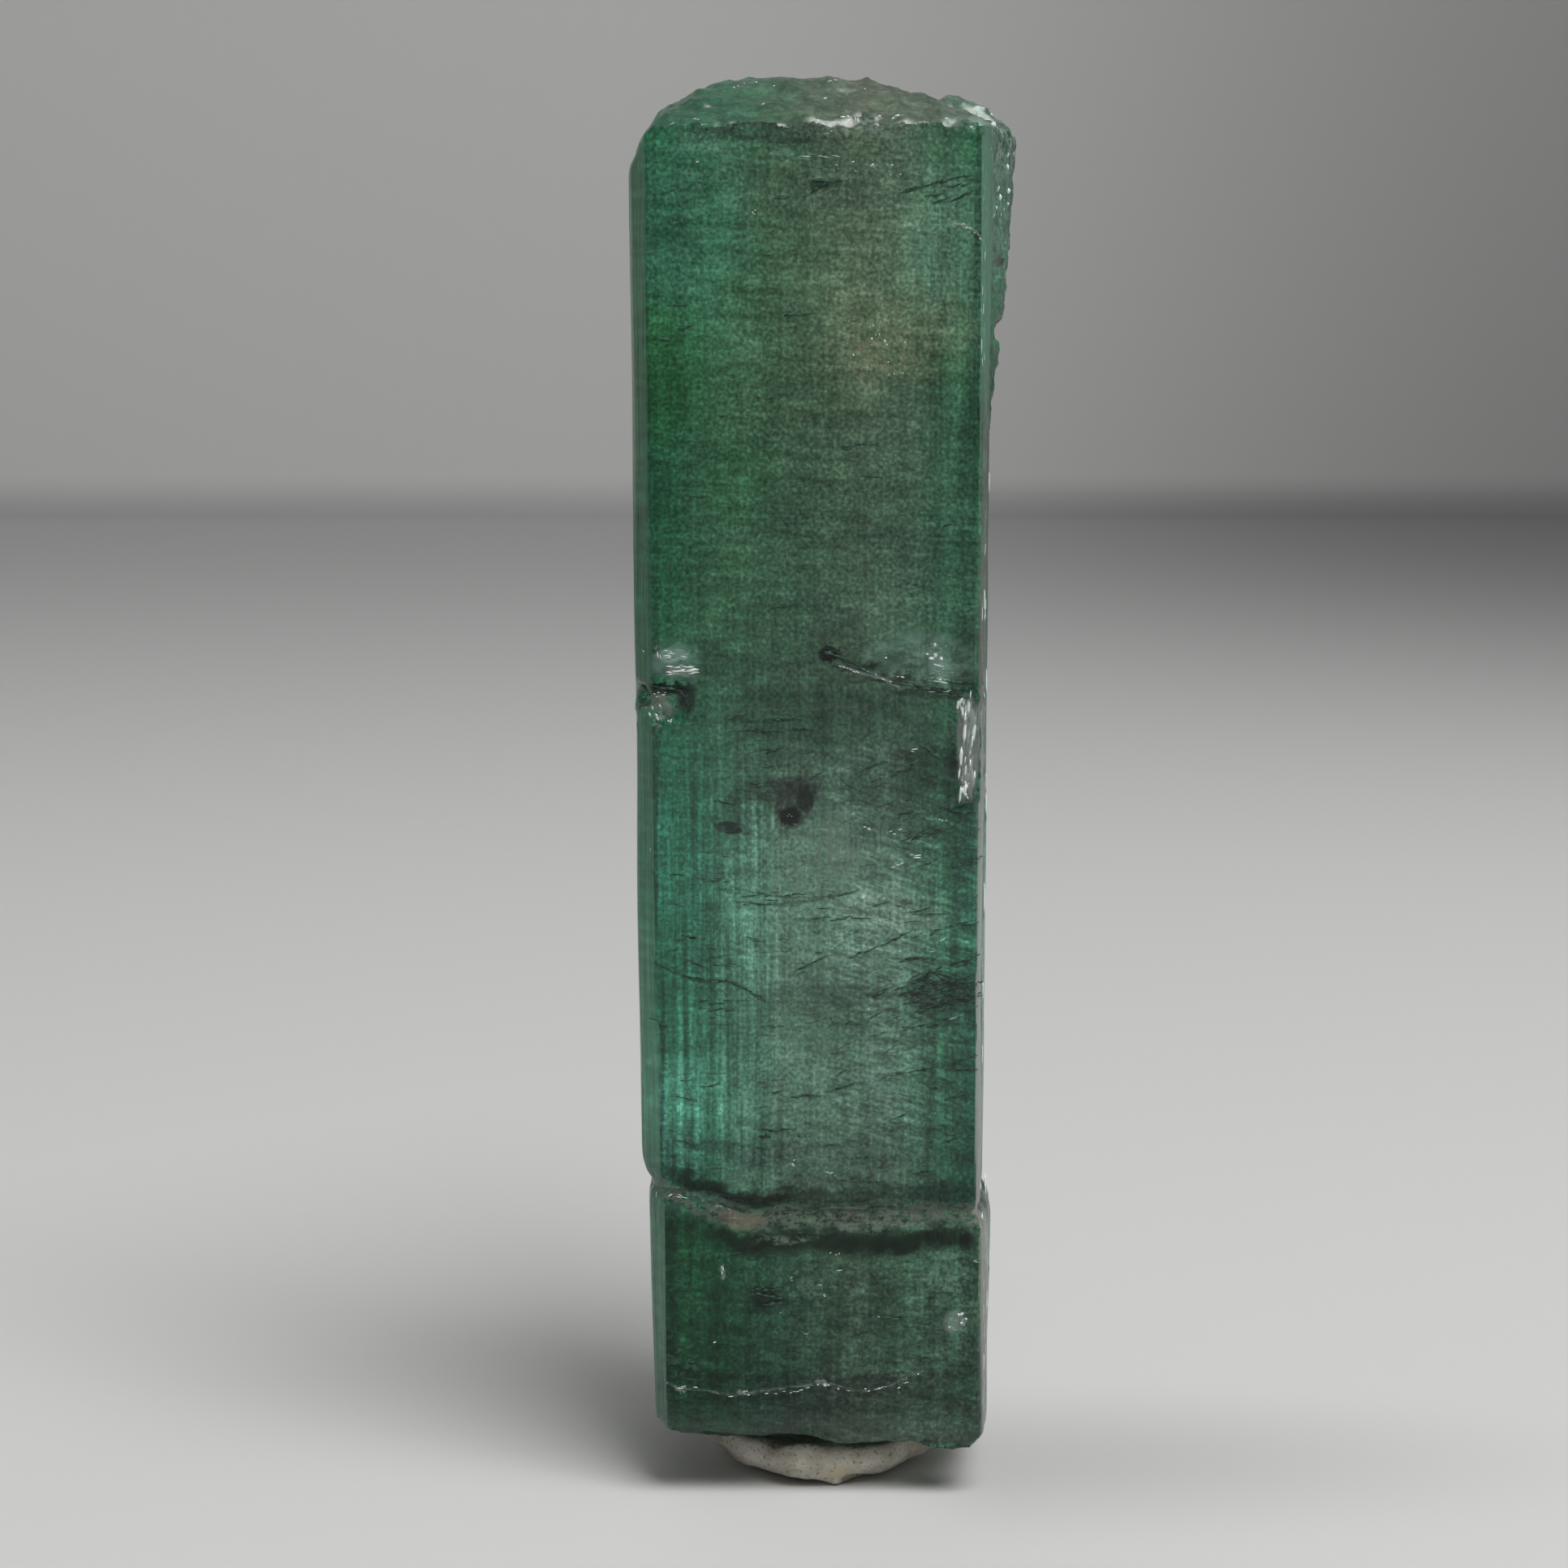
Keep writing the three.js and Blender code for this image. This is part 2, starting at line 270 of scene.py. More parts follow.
def curve(tree, value, points, start=-HALF_WIDTH_MM, end=HALF_WIDTH_MM, low=0.0, high=10.0):
    """A height that follows points of place and height, from left to right in millimetres."""
    share = share_of(tree, value, start, end)
    bend = add_node(tree, "FloatCurve", {"Value": share})
    line = bend.mapping.curves[0]
    ends_first = [points[0], points[-1], *points[1:-1]]
    for index, (place, height) in enumerate(ends_first):
        spot_on = ((place - start) / (end - start), (height - low) / (high - low))
        if index < 2:
            line.points[index].location = spot_on
        else:
            line.points.new(*spot_on)
    bend.mapping.update()
    return maths(tree, "ADD", low, product(tree, bend.outputs["Value"], high - low))


def band(tree, height, low, high, edge=0.15):
    """One between two heights, fading over the edge beyond them."""
    rising = eased(tree, height, low - edge, low + edge)
    falling = eased(tree, height, high + edge, high - edge)
    return product(tree, rising, falling)


# clouds and grains of many sizes, and wisps that lie level or rise to the right
broad = speckle(tree, in_mm, 2.4, 3.2, detail=2)
cloudy = speckle(tree, in_mm, 0.7, 0.5, detail=3, roughness=0.7)
fine = speckle(tree, in_mm, 0.11, 0.11, detail=1)
upright = speckle(tree, in_mm, 0.16, 5, detail=2)
level_wisps = speckle(tree, in_mm, 1.6, 0.2, detail=2, turn=-4)
rising_wisps = speckle(tree, in_mm, 1.0, 0.16, detail=2, turn=-18)
right_low = product(tree, eased(tree, bent_x, -0.6, 1.2), band(tree, bent_z, 10.5, 22.5, 0.8))
left_low = product(tree, eased(tree, x_mm, -0.6, -2.0), band(tree, bent_z, 10.0, 22.0, 1.4))

# broad soft patches of colour: centre, reach, colour and share
TONES = [
    ((-4.3, 11.9), (1.7, 3.0), (0.2, 0.62, 0.47), 0.7),
    ((-4.0, 37.0), (2.4, 4.6), (0.14, 0.44, 0.28), 0.75),
    ((5.1, 37.6), (0.8, 3.4), (0.3, 0.6, 0.45), 0.8),
    ((0.3, 38.4), (3.4, 1.8), (0.26, 0.36, 0.28), 0.5),
    ((0.8, 26.5), (4.6, 7.5), (0.02, 0.2, 0.13), 0.36),
    ((2.6, 20.9), (2.8, 1.7), (0.01, 0.03, 0.02), 0.35),
    ((0.0, 23.2), (5.0, 1.3), (0.025, 0.11, 0.06), 0.5),
    ((0.6, 14.7), (1.7, 1.3), (0.02, 0.05, 0.03), 0.3),
    ((3.3, 36.6), (1.5, 3.4), (0.36, 0.62, 0.46), 0.6),
    ((2.0, 34.2), (3.0, 1.8), (0.5, 0.56, 0.36), 0.5),
    ((0.4, 14.0), (1.8, 1.0), (0.05, 0.09, 0.06), 0.35),
    ((2.0, 17.7), (2.4, 1.0), (0.38, 0.48, 0.4), 0.5),
    ((-2.6, 39.5), (2.4, 0.5), (0.26, 0.58, 0.4), 0.75),
    ((-0.9, 21.3), (2.2, 0.8), (0.02, 0.05, 0.03), 0.3),
    ((-4.6, 33.4), (1.4, 2.6), (0.09, 0.4, 0.12), 0.5),
    ((-2.6, 30.0), (1.6, 1.6), (0.15, 0.44, 0.24), 0.6),
    ((3.0, 5.0), (2.6, 2.4), (0.18, 0.32, 0.23), 0.5),
]
soft_place = flattened(tree, bent_x, bent_z)
for centre, reach, colour, share in TONES:
    zones = mixed(tree, patch(tree, soft_place, centre, reach, 0.7, share), zones, (*colour, 1))

# how bright the stone is from its foot to its top, and how strongly each cloud shows
brighter = curve(tree, bent_z, [
    (2.0, -0.1), (5.0, 0.1), (7.4, 0.5), (8.4, 0.2), (9.7, 0.1), (10.8, 0.24), (13.0, 0.62),
    (15.0, 0.24), (16.8, 0.82), (18.7, 0.7), (20.7, 0.28), (22.3, 0.1), (23.9, -0.1), (27.6, 0.3),
    (30.5, 0.2), (32.2, 0.05), (34.5, 0.45), (36.7, 0.4), (39.0, 0.36), (41.0, 0.4),
], start=2.0, end=41.0, low=-1.0, high=1.0)
inside = maths(tree, "MAXIMUM", eased(tree, x_mm, -3.9, -2.5), eased(tree, z_mm, 32.0, 34.0))
inside = maths(tree, "MAXIMUM", inside, eased(tree, z_mm, 14.0, 12.0, 0.0, 0.8))
in_foot = eased(tree, z_mm, 9.0, 8.2)
in_top = eased(tree, z_mm, 24.0, 28.0)
grained = speckle(tree, in_mm, 0.22, 0.16, detail=2, roughness=0.7)
zones = clouded(tree, zones, [
    (maths(tree, "ADD", 0.5, product(tree, brighter, inside)), 1.0),
    (broad, 1.5), (cloudy, maths(tree, "ADD", 2.2, product(tree, in_foot, 1.4))),
    (fine, 4.0), (grained, maths(tree, "ADD", 1.0, product(tree, in_foot, 2.4))), (level_wisps, 2.0),
    (rising_wisps, product(tree, right_low, 4.6)),
    (upright, maths(tree, "ADD", product(tree, in_top, -1.0), product(tree, left_low, 3.4))),
    (upright, 2.2),
])

# the healed break: a painted shadow band over and under it, where the crack shades the stone, and clay
# crumbs along it
seam = curve(tree, x_mm, [
    (-5.6, 9.4), (-4.6, 9.3), (-3.8, 8.95), (-3.1, 8.72), (-2.3, 8.42), (-1.4, 8.53), (0.0, 8.53),
    (1.0, 8.42), (2.0, 8.45), (3.4, 8.67), (4.45, 8.6), (5.6, 8.6),
])
ragged = product(tree, maths(tree, "SUBTRACT", cloudy, 0.5), 0.9)
from_seam = maths(tree, "ADD", maths(tree, "SUBTRACT", z_mm, seam), ragged)
inward = product(tree, eased(tree, x_mm, -4.2, -2.8), eased(tree, x_mm, 4.7, 4.2))
leftward_in = product(tree, eased(tree, x_mm, -4.9, -3.9), eased(tree, x_mm, 4.7, 2.6, 0.3, 1.0))
shadow = product(tree, band(tree, from_seam, 0.4, 0.92, 0.16), leftward_in)
shadow = product(tree, shadow, eased(tree, x_mm, -1.4, 0.4, 0.95, 0.62))
zones = mixed(tree, shadow, zones, (0.006, 0.016, 0.01, 1))
shadow = product(tree, band(tree, from_seam, -1.0, -0.4, 0.2), inward)
zones = mixed(tree, product(tree, shadow, 0.95), zones, (0.008, 0.018, 0.012, 1))
crumbled = band(tree, from_seam, -0.28, 0.24, 0.16)
clotted = eased(tree, grained, 0.38, 0.58)
sharp_place = flattened(tree, x_mm, z_mm)
pinkish = patch(tree, sharp_place, (-2.35, 8.48), (0.9, 0.5), edge=0.6)
clay_tone = mixed(tree, pinkish, (0.54, 0.56, 0.48, 1), (0.85, 0.66, 0.54, 1))
clotted_clay = maths(tree, "MAXIMUM", clotted, product(tree, pinkish, 0.8))
clay_share = product(tree, product(tree, crumbled, clotted_clay), 0.8)
zones = mixed(tree, clay_share, zones, clay_tone)
from_side_crack = maths(tree, "ADD", maths(tree, "SUBTRACT", z_mm, 7.9), ragged)
side_crack = band(tree, from_side_crack, -0.06, 0.08, 0.1)
side_crack = product(tree, side_crack, band(tree, x_mm, -2.0, -0.5, 0.3))
zones = mixed(tree, product(tree, side_crack, clotted), zones, (0.6, 0.64, 0.56, 1))
# textures and colours of the marks
ragged_line = product(tree, maths(tree, "SUBTRACT", grained, 0.5), 0.5)
TEXTURES = {
    "torn": maths(tree, "ADD", 0.3, product(tree, eased(tree, cloudy, 0.42, 0.58), 0.7)),
    "speckled": eased(tree, grained, 0.48, 0.6),
    "sparse": eased(tree, grained, 0.56, 0.66),
    "level": eased(tree, level_wisps, 0.48, 0.58),
    "rising": eased(tree, rising_wisps, 0.46, 0.56),
    "upright": eased(tree, upright, 0.5, 0.6),
}
MINT = (0.7, 1.0, 0.88)
WHITE = (0.95, 0.97, 0.95)
SILVER = (0.44, 0.44, 0.4)
VEIL = (0.34, 0.6, 0.5)
SMOKE = (0.07, 0.07, 0.045)
DEEP = (0.012, 0.03, 0.02)
BLACK = (0.004, 0.01, 0.007)
# small marks near the front face: centre, reach, colour, share and texture
MARKS = [
    # the grey haze left of the middle, and painted shade in the dark hollow under the crown's ledge
    ((-0.4, 19.2), (1.7, 1.3), (0.42, 0.52, 0.44), 0.5, "upright"),
    ((0.0, 38.6), (1.6, 0.5), (0.03, 0.08, 0.04), 0.5, "speckled"),
    # the upper crack's left end: two mint bars and a pale haze of painted reflection, the black hollow
    # under them, the splintered edge with painted white glints
    ((-4.25, 24.9), (0.95, 0.75), (0.42, 0.76, 0.64), 0.9, "torn"),
    ((-4.3, 25.12), (0.6, 0.24), MINT, 0.95, "plain"),
    ((-4.1, 24.68), (0.52, 0.2), (0.9, 1.0, 0.95), 0.95, "plain"),
    ((-4.8, 25.1), (0.12, 0.6), MINT, 0.7, "speckled"), ((-4.5, 24.15), (1.0, 0.25), BLACK, 0.9, "plain"),
    ((-3.95, 23.9), (0.35, 0.5), BLACK, 0.85, "plain"),
    ((-4.75, 23.6), (0.55, 0.5), (0.62, 0.66, 0.62), 0.9, "torn"),
    ((-4.7, 23.5), (0.5, 0.5), WHITE, 0.7, "sparse"), ((-3.2, 24.9), (0.5, 0.8), BLACK, 0.4, "torn"),
    # its right end: a frosted veil whose mint specks and pale tone are painted reflection, a painted
    # highlight along the hook, and the black line that hooks into it
    ((2.8, 25.05), (1.9, 0.95), (0.42, 0.72, 0.6), 0.8, "torn"),
    ((2.6, 25.0), (2.0, 0.85), MINT, 0.6, "speckled"), ((2.0, 24.8), (0.9, 0.6), DEEP, 0.5, "torn"),
    ((3.3, 24.95), (0.4, 0.9), MINT, 0.9, "torn"), ((3.0, 24.05), (1.5, 0.2), BLACK, 0.75, "torn"),
    ((3.4, 24.36), (1.1, 0.1), WHITE, 0.8, "level"), ((0.15, 25.15), (0.42, 0.3), BLACK, 0.97, "plain"),
    ((0.9, 24.8), (0.9, 0.16), BLACK, 0.92, "torn"), ((1.9, 24.45), (1.0, 0.16), BLACK, 0.85, "torn"),
    # the splintered strip on the right edge, pale splinters with painted white highlights, and the dark
    # behind it
    ((4.14, 22.4), (0.4, 1.8), (0.7, 0.73, 0.7), 0.95, "plain"),
    ((4.14, 22.5), (0.45, 1.8), WHITE, 0.95, "upright"), ((4.05, 23.6), (0.32, 0.5), WHITE, 0.85, "torn"),
    ((3.6, 21.8), (0.3, 1.4), BLACK, 0.6, "torn"),
    # the dark round the pocket, and the flat lens left of it
    ((-0.65, 21.3), (0.66, 0.3), DEEP, 0.85, "torn"),
    ((-0.98, 20.47), (0.42, 0.38), BLACK, 0.97, "plain"),
    ((-0.55, 20.95), (0.34, 0.46), DEEP, 0.85, "plain"),
    ((-1.9, 21.35), (0.75, 0.22), SMOKE, 0.7, "torn"), ((-1.5, 21.0), (0.45, 0.35), SMOKE, 0.6, "torn"),
    ((-2.7, 20.15), (0.5, 0.26), DEEP, 0.85, "torn"),
    # the veils of the middle right, and the black one lower down
    ((0.6, 19.9), (1.5, 1.1), (0.5, 0.58, 0.5), 0.6, "upright"),
    ((1.6, 21.3), (1.6, 0.5), BLACK, 0.5, "rising"), ((2.9, 21.9), (1.2, 0.8), BLACK, 0.6, "torn"),
    ((3.4, 15.35), (1.4, 0.75), BLACK, 0.92, "rising"), ((3.3, 15.2), (1.3, 0.5), BLACK, 0.35, "torn"),
    ((3.9, 19.3), (0.8, 0.7), BLACK, 0.65, "rising"),
    # golden specks high up: painted warm glints
    ((1.7, 33.7), (1.3, 1.1), (1.0, 0.78, 0.5), 0.7, "sparse"),
    # the foot: a black tuft, the bead of mint crumbs with painted white glints, wisps, and white knots of
    # painted glint on the lowest crack
    ((-1.7, 6.05), (0.7, 0.5), BLACK, 0.8, "torn"),
    ((3.8, 6.9), (0.8, 0.9), (0.5, 0.8, 0.66), 0.8, "speckled"),
    ((3.9, 5.4), (0.44, 0.42), MINT, 0.9, "torn"), ((3.9, 5.4), (0.44, 0.42), WHITE, 1.0, "speckled"),
    ((0.0, 6.7), (1.3, 0.9), (0.46, 0.54, 0.44), 0.7, "sparse"),
    ((2.0, 5.6), (2.2, 1.2), BLACK, 0.45, "level"), ((1.9, 7.8), (2.3, 0.5), BLACK, 0.9, "torn"),
    ((-3.9, 4.2), (1.0, 0.7), VEIL, 0.45, "sparse"), ((-2.95, 6.95), (0.1, 0.3), WHITE, 0.9, "speckled"),
    ((-4.2, 3.3), (0.22, 0.1), WHITE, 0.95, "plain"), ((-2.4, 3.2), (0.2, 0.1), WHITE, 0.9, "plain"),
    ((-0.05, 3.5), (0.25, 0.1), WHITE, 0.9, "plain"),
    # faint haze, the old break's left end, and pale specks and lines at the top
    ((-0.8, 18.3), (1.2, 0.7), (0.5, 0.62, 0.54), 0.5, "upright"),
    ((-4.5, 9.3), (0.9, 0.25), SILVER, 0.8, "speckled"), ((-0.1, 38.35), (0.7, 0.16), BLACK, 0.7, "torn"),
    ((-3.0, 37.5), (1.8, 2.6), MINT, 0.3, "sparse"), ((3.4, 37.2), (1.0, 2.4), MINT, 0.3, "upright"),
]
torn_place = flattened(tree, x_mm, maths(tree, "ADD", z_mm, ragged_line))
for centre, reach, colour, share, texture in MARKS:
    amount = patch(tree, torn_place, centre, reach, most=share)
    if texture != "plain":
        amount = product(tree, amount, TEXTURES[texture])
    zones = mixed(tree, amount, zones, (*colour, 1))

WAVY_EDGE = [(-4.9, 16.2), (-4.1, 15.8), (-3.3, 15.6), (-2.8, 15.65), (-2.3, 15.4), (-1.75, 15.1)]
# fine lines: points from left to right, half thickness, colour, share, and whether they are broken up
LINES = [
    # the thin crack low in the foot
    ([
        (-4.75, 3.6), (-4.3, 3.38), (-3.4, 3.25), (-2.6, 3.15), (-1.8, 3.28), (-0.8, 3.4), (0.1, 3.5),
        (1.0, 3.27), (1.8, 3.35), (2.3, 3.6), (2.95, 3.9),
    ], 0.03, (0.7, 0.85, 0.77), 0.8, True),
    # the wavy edge of a flat film on the left
    (WAVY_EDGE, 0.04, BLACK, 0.8, False),
    # a faint level line near the top
    ([(-4.4, 37.3), (-2.0, 37.25), (0.0, 37.1), (3.2, 37.0)], 0.04, BLACK, 0.25, False),
    # painted highlight: the bright side of the upper crack's hook
    ([(0.5, 24.85), (0.9, 24.68), (1.4, 24.55), (1.8, 24.4), (2.15, 24.2)], 0.035, WHITE, 1.0, False),
    # two dark lines left of the middle
    ([(-2.7, 18.4), (-1.4, 18.15), (-0.2, 18.1), (1.0, 18.3)], 0.03, BLACK, 0.75, False),
    ([(-2.6, 18.0), (-1.3, 17.92), (0.3, 18.12)], 0.03, BLACK, 0.7, False),
    # two fine lines under the upper crack
    ([(-2.5, 23.2), (-1.2, 23.3), (0.2, 23.35)], 0.03, BLACK, 0.7, True),
    ([(-2.3, 23.6), (-0.4, 23.6), (1.3, 23.7)], 0.02, SILVER, 0.7, True),
    # a bright crack at the upper right
    ([(3.5, 37.3), (4.0, 37.2), (4.42, 36.85)], 0.04, WHITE, 1.0, False),
]
for points, thick, colour, share, broken_up in LINES:
    height = maths(tree, "SUBTRACT", z_mm, curve(tree, x_mm, points, low=0.0, high=42.0))
    height = maths(tree, "ADD", height, product(tree, ragged_line, 0.4))
    span = band(tree, x_mm, points[0][0], points[-1][0], 0.1)
    line = product(tree, band(tree, height, -thick, thick, 0.04), span)
    if broken_up:
        line = product(tree, line, maths(tree, "ADD", 0.3, TEXTURES["speckled"]))
    zones = mixed(tree, product(tree, line, share), zones, (*colour, 1))
# the broken underside with painted shade on its downward faces, the etched crown, the lobe, and the left
# and right sides
facing = add_node(tree, "NewGeometry").outputs["Normal"]
normal_parts = add_node(tree, "SeparateXYZ", {"Vector": facing})
underside_shade = eased(tree, normal_parts.outputs["Z"], -0.3, -0.7)
facing_up = eased(tree, normal_parts.outputs["Z"], 0.2, 0.6)
crown = product(tree, facing_up, eased(tree, z_mm, 39.0, 40.0))
zones = mixed(tree, product(tree, underside_shade, 0.8), zones, (0.04, 0.1, 0.07, 1))
crown_tone = across(tree, bent_x, [
    (-5.3, (0.06, 0.24, 0.14)), (-2.0, (0.1, 0.28, 0.18)), (-0.6, (0.2, 0.26, 0.19)),
    (1.0, (0.28, 0.28, 0.22)), (3.0, (0.26, 0.3, 0.24)), (4.6, (0.5, 0.66, 0.56)),
])
crown_tone = clouded(tree, crown_tone, [(cloudy, 4.0), (grained, 3.0)])
zones = mixed(tree, product(tree, crown, 0.85), zones, crown_tone)
# pale frost along the front of the crown's ledge, with painted glints where it sparkles
ledge_frost_and_glints = product(tree, band(tree, z_mm, 39.75, 40.25, 0.15), TEXTURES["speckled"])
ledge_frost_and_glints = product(tree, ledge_frost_and_glints, eased(tree, y_mm, -2.6, -3.2))
glinting = maths(tree, "MAXIMUM", band(tree, x_mm, -0.3, 2.1, 0.4), eased(tree, x_mm, 3.2, 4.2, 0.1, 0.8))
ledge_frost_and_glints = product(tree, ledge_frost_and_glints, glinting)
zones = mixed(tree, product(tree, ledge_frost_and_glints, 0.7), zones, (0.8, 0.92, 0.86, 1))
lobe = product(tree, eased(tree, x_mm, 4.5, 4.9), eased(tree, z_mm, 38.0, 39.2))
zones = mixed(tree, product(tree, lobe, TEXTURES["speckled"]), zones, (0.85, 1.0, 0.93, 1))
leftward = eased(tree, normal_parts.outputs["X"], -0.4, -0.7)
left_tone = mixed(tree, eased(tree, z_mm, 20.0, 15.0), (0.12, 0.4, 0.26, 1), (0.2, 0.54, 0.38, 1))
left_tone = mixed(tree, eased(tree, z_mm, 26.0, 33.0), left_tone, (0.26, 0.66, 0.42, 1))
left_tone = clouded(tree, left_tone, [(cloudy, 2.0), (level_wisps, 2.0)])
zones = mixed(tree, product(tree, leftward, 0.75), zones, left_tone)
bevel_tone = mixed(tree, eased(tree, z_mm, 22.0, 25.0), (1.0, 0.96, 0.94, 1), (0.42, 0.42, 0.4, 1))
bevel_tone = mixed(tree, eased(tree, z_mm, 31.0, 34.0), bevel_tone, (0.36, 0.72, 0.54, 1))
rightward = eased(tree, normal_parts.outputs["X"], 0.55, 0.8)
bevel = product(tree, rightward, eased(tree, y_mm, -3.2, -3.5))
zones = mixed(tree, product(tree, bevel, 0.95), zones, bevel_tone)
tree.links.new(zones, shader.inputs["Base Color"])

# glossy in front, duller where it is grooved or level
front = eased(tree, normal_parts.outputs["Y"], -0.8, -0.96)
level = eased(tree, maths(tree, "ABSOLUTE", normal_parts.outputs["Z"]), 0.3, 0.6)
grooved = maths(tree, "SUBTRACT", 1.0, maths(tree, "MAXIMUM", front, level))
glossy = maths(tree, "ADD", 0.1, product(tree, level, 0.2))
roughness = maths(tree, "ADD", product(tree, grooved, 0.12), glossy)
relief = maths(tree, "ADD", product(tree, upright, grooved), product(tree, cloudy, 0.12))
raised = add_node(tree, "Bump", {"Height": relief, "Strength": 1, "Distance": 0.00007}).outputs["Normal"]
tree.links.new(raised, shader.inputs["Normal"])
tree.links.new(roughness, shader.inputs["Roughness"])

absorb = add_node(tree, "VolumeAbsorption", {"Color": (0.36, 0.62, 0.47, 1), "Density": 300})
tree.links.new(absorb.outputs[0], tree.nodes["Material Output"].inputs["Volume"])
crystal.data.materials.clear()
crystal.data.materials.append(tourmaline)
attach(crystal, "root")
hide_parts("tourmaline_crystal")

# ---- dark flakes -----------------------------------------------------------------------------
# Thin films and flattened tubes of dark foreign matter caught in the crystal as it grew. They lie
# close behind the front face, mostly level, and rise to the right in two veils on the right side.

# the place that the front is seen from, and where the front face lies
EYE = Vector((-1.153, -100.281, 36.65)) * MM
FRONT_MM = -4.081
BENDING = 1 / REFRACTION
chance = random.Random(41)
one_flake = bpy.data.meshes.new("one flake")
bpy.context.view_layer.update()


def seen_at(x, z, depth):
    """The place that far inside the crystal which shows at x, z on its front, all in millimetres."""
    toward = (Vector((x, FRONT_MM, z)) * MM - EYE).normalized()
    hit, place, normal, _ = crystal.ray_cast(EYE, toward)
    if not hit:
        return None
    steepness = -toward.dot(normal)
    inward = math.sqrt(max(0.0, 1 - BENDING ** 2 * (1 - steepness ** 2)))
    return place + (toward * BENDING + normal * (BENDING * steepness - inward)) * depth * MM


def add_flake(shape, place, size, slope=0.0, faces=1, raggedness=0.3):
    """Adds a thin ragged lens, size across, deep and high in millimetres, raised by slope degrees."""
    single = bmesh.new()
    bmesh.ops.create_icosphere(single, subdivisions=faces, radius=0.5)
    shift = Vector((chance.uniform(0, 90), chance.uniform(0, 90), 0))
    for vertex in single.verts:
        vertex.co *= 1 + raggedness * noise.noise(vertex.co * 3 + shift)
    turn = Matrix.Rotation(math.radians(-slope), 4, "Y") @ Matrix.Diagonal((*(Vector(size) * MM), 1))
    bmesh.ops.transform(single, matrix=Matrix.Translation(place) @ turn, verts=single.verts)
    single.to_mesh(one_flake)
    single.free()
    shape.from_mesh(one_flake)


def add_streak(shape, x, z, length, slope, thick=0.065, depth=0.0):
    """Adds a broken streak of lenses along a sloping line."""
    along = Vector((math.cos(math.radians(slope)), math.sin(math.radians(slope))))
    count = max(2, round(length / 0.22))
    for step in range(count):
        share = (step + 0.5) / count - 0.5
        taper = 1.15 - abs(share) * 1.4
        middle_x = x + along.x * share * length
        middle_z = z + along.y * share * length + chance.gauss(0, 0.025)
        place = seen_at(middle_x, middle_z, depth + chance.uniform(0.0, 0.04))
        if place:
            long = length / count * chance.uniform(1.3, 2.4)
            high = thick * taper * chance.uniform(0.6, 1.3)
            add_flake(shape, place, (long, 0.12, high), slope + chance.gauss(0, 5))


def new_piece(shape, name, material):
    """An object made of a bmesh and a material, that rides on the part."""
    mesh = bpy.data.meshes.new(name)
    shape.to_mesh(mesh)
    shape.free()
    mesh.materials.append(material)
    mesh.shade_smooth()
    piece = bpy.data.objects.new(name, mesh)
    bpy.context.collection.objects.link(piece)
    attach(piece, "root")
    return piece


# streaks: the place across and up, length and slope
STREAKS = [
    (3.1, 38.4, 2.0, 14), (3.7, 38.0, 0.5, 31), (3.1, 38.1, 0.4, 10), (-0.3, 38.2, 0.75, 29),
    (-1.1, 38.0, 0.5, 5), (3.7, 38.35, 1.0, 18), (3.9, 38.05, 0.6, 28), (2.6, 38.3, 0.6, 12),
    (3.3, 37.95, 0.5, 20), (0.1, 38.45, 0.8, 6), (-4.2, 35.0, 0.5, 2), (-3.9, 34.4, 0.4, 5),
    (-4.4, 34.1, 0.4, 0), (3.6, 28.9, 0.5, 10), (-1.6, 32.4, 0.6, 2), (-1.0, 34.8, 1.2, 0),
    (1.0, 31.1, 1.0, 0), (1.4, 30.2, 0.5, 0), (-3.6, 29.7, 0.5, 0), (-2.5, 23.4, 0.5, 20),
    (-1.1, 23.27, 1.2, 3), (-2.1, 22.95, 1.1, 1), (-1.2, 22.95, 1.2, 2), (-0.5, 23.0, 0.6, 2),
    (-1.0, 23.3, 0.6, 3), (-1.6, 22.93, 0.8, 0), (-1.4, 22.4, 0.45, 21), (-1.8, 21.4, 0.6, 0),
    (-0.2, 21.7, 0.3, 15), (-2.9, 20.9, 0.6, -11), (1.3, 21.9, 1.0, 21), (2.4, 21.9, 1.0, 31),
    (3.0, 22.4, 0.75, -32), (3.9, 20.8, 0.8, 15), (4.0, 20.6, 0.7, 0), (2.7, 19.9, 1.0, 15),
    (4.1, 19.1, 0.7, 19), (0.6, 21.5, 0.4, -45), (-3.1, 18.6, 0.85, 0), (-1.8, 18.2, 1.0, 6),
    (-1.9, 17.9, 0.9, 0), (-0.8, 18.2, 0.6, 9), (-3.9, 16.9, 0.75, 0), (-3.6, 16.1, 0.85, -25),
    (-2.8, 16.1, 0.7, -5), (-0.6, 16.0, 0.5, 20), (-3.1, 15.0, 0.95, 0), (-3.1, 14.8, 0.95, 0),
    (-4.8, 14.4, 0.5, -22), (0.5, 17.5, 1.5, 0), (-0.3, 16.2, 0.95, 27), (1.2, 16.5, 0.85, 25),
    (2.1, 16.9, 1.0, 26), (3.0, 17.6, 0.85, 0), (4.0, 17.3, 0.8, 5), (2.6, 16.3, 0.8, 11),
    (1.6, 15.3, 0.75, 17), (2.6, 15.6, 1.1, 24), (2.9, 14.3, 1.2, 5), (1.5, 14.6, 0.45, 29),
    (4.1, 13.3, 0.7, 19), (4.0, 13.0, 0.8, 0), (2.9, 13.0, 0.8, 8), (-3.9, 10.8, 0.75, -20),
    (-1.4, 11.2, 1.15, 0), (3.8, 12.2, 0.5, 21), (0.6, 12.5, 0.9, 15), (-0.5, 12.2, 0.75, 0),
    (1.2, 9.65, 1.2, 0), (4.2, 11.0, 0.3, 0), (-2.8, 7.4, 0.6, 19), (0.7, 5.3, 0.6, 5),
    (1.1, 5.0, 0.75, 12), (2.1, 5.5, 0.65, 7), (1.5, 6.7, 0.75, -54),
]
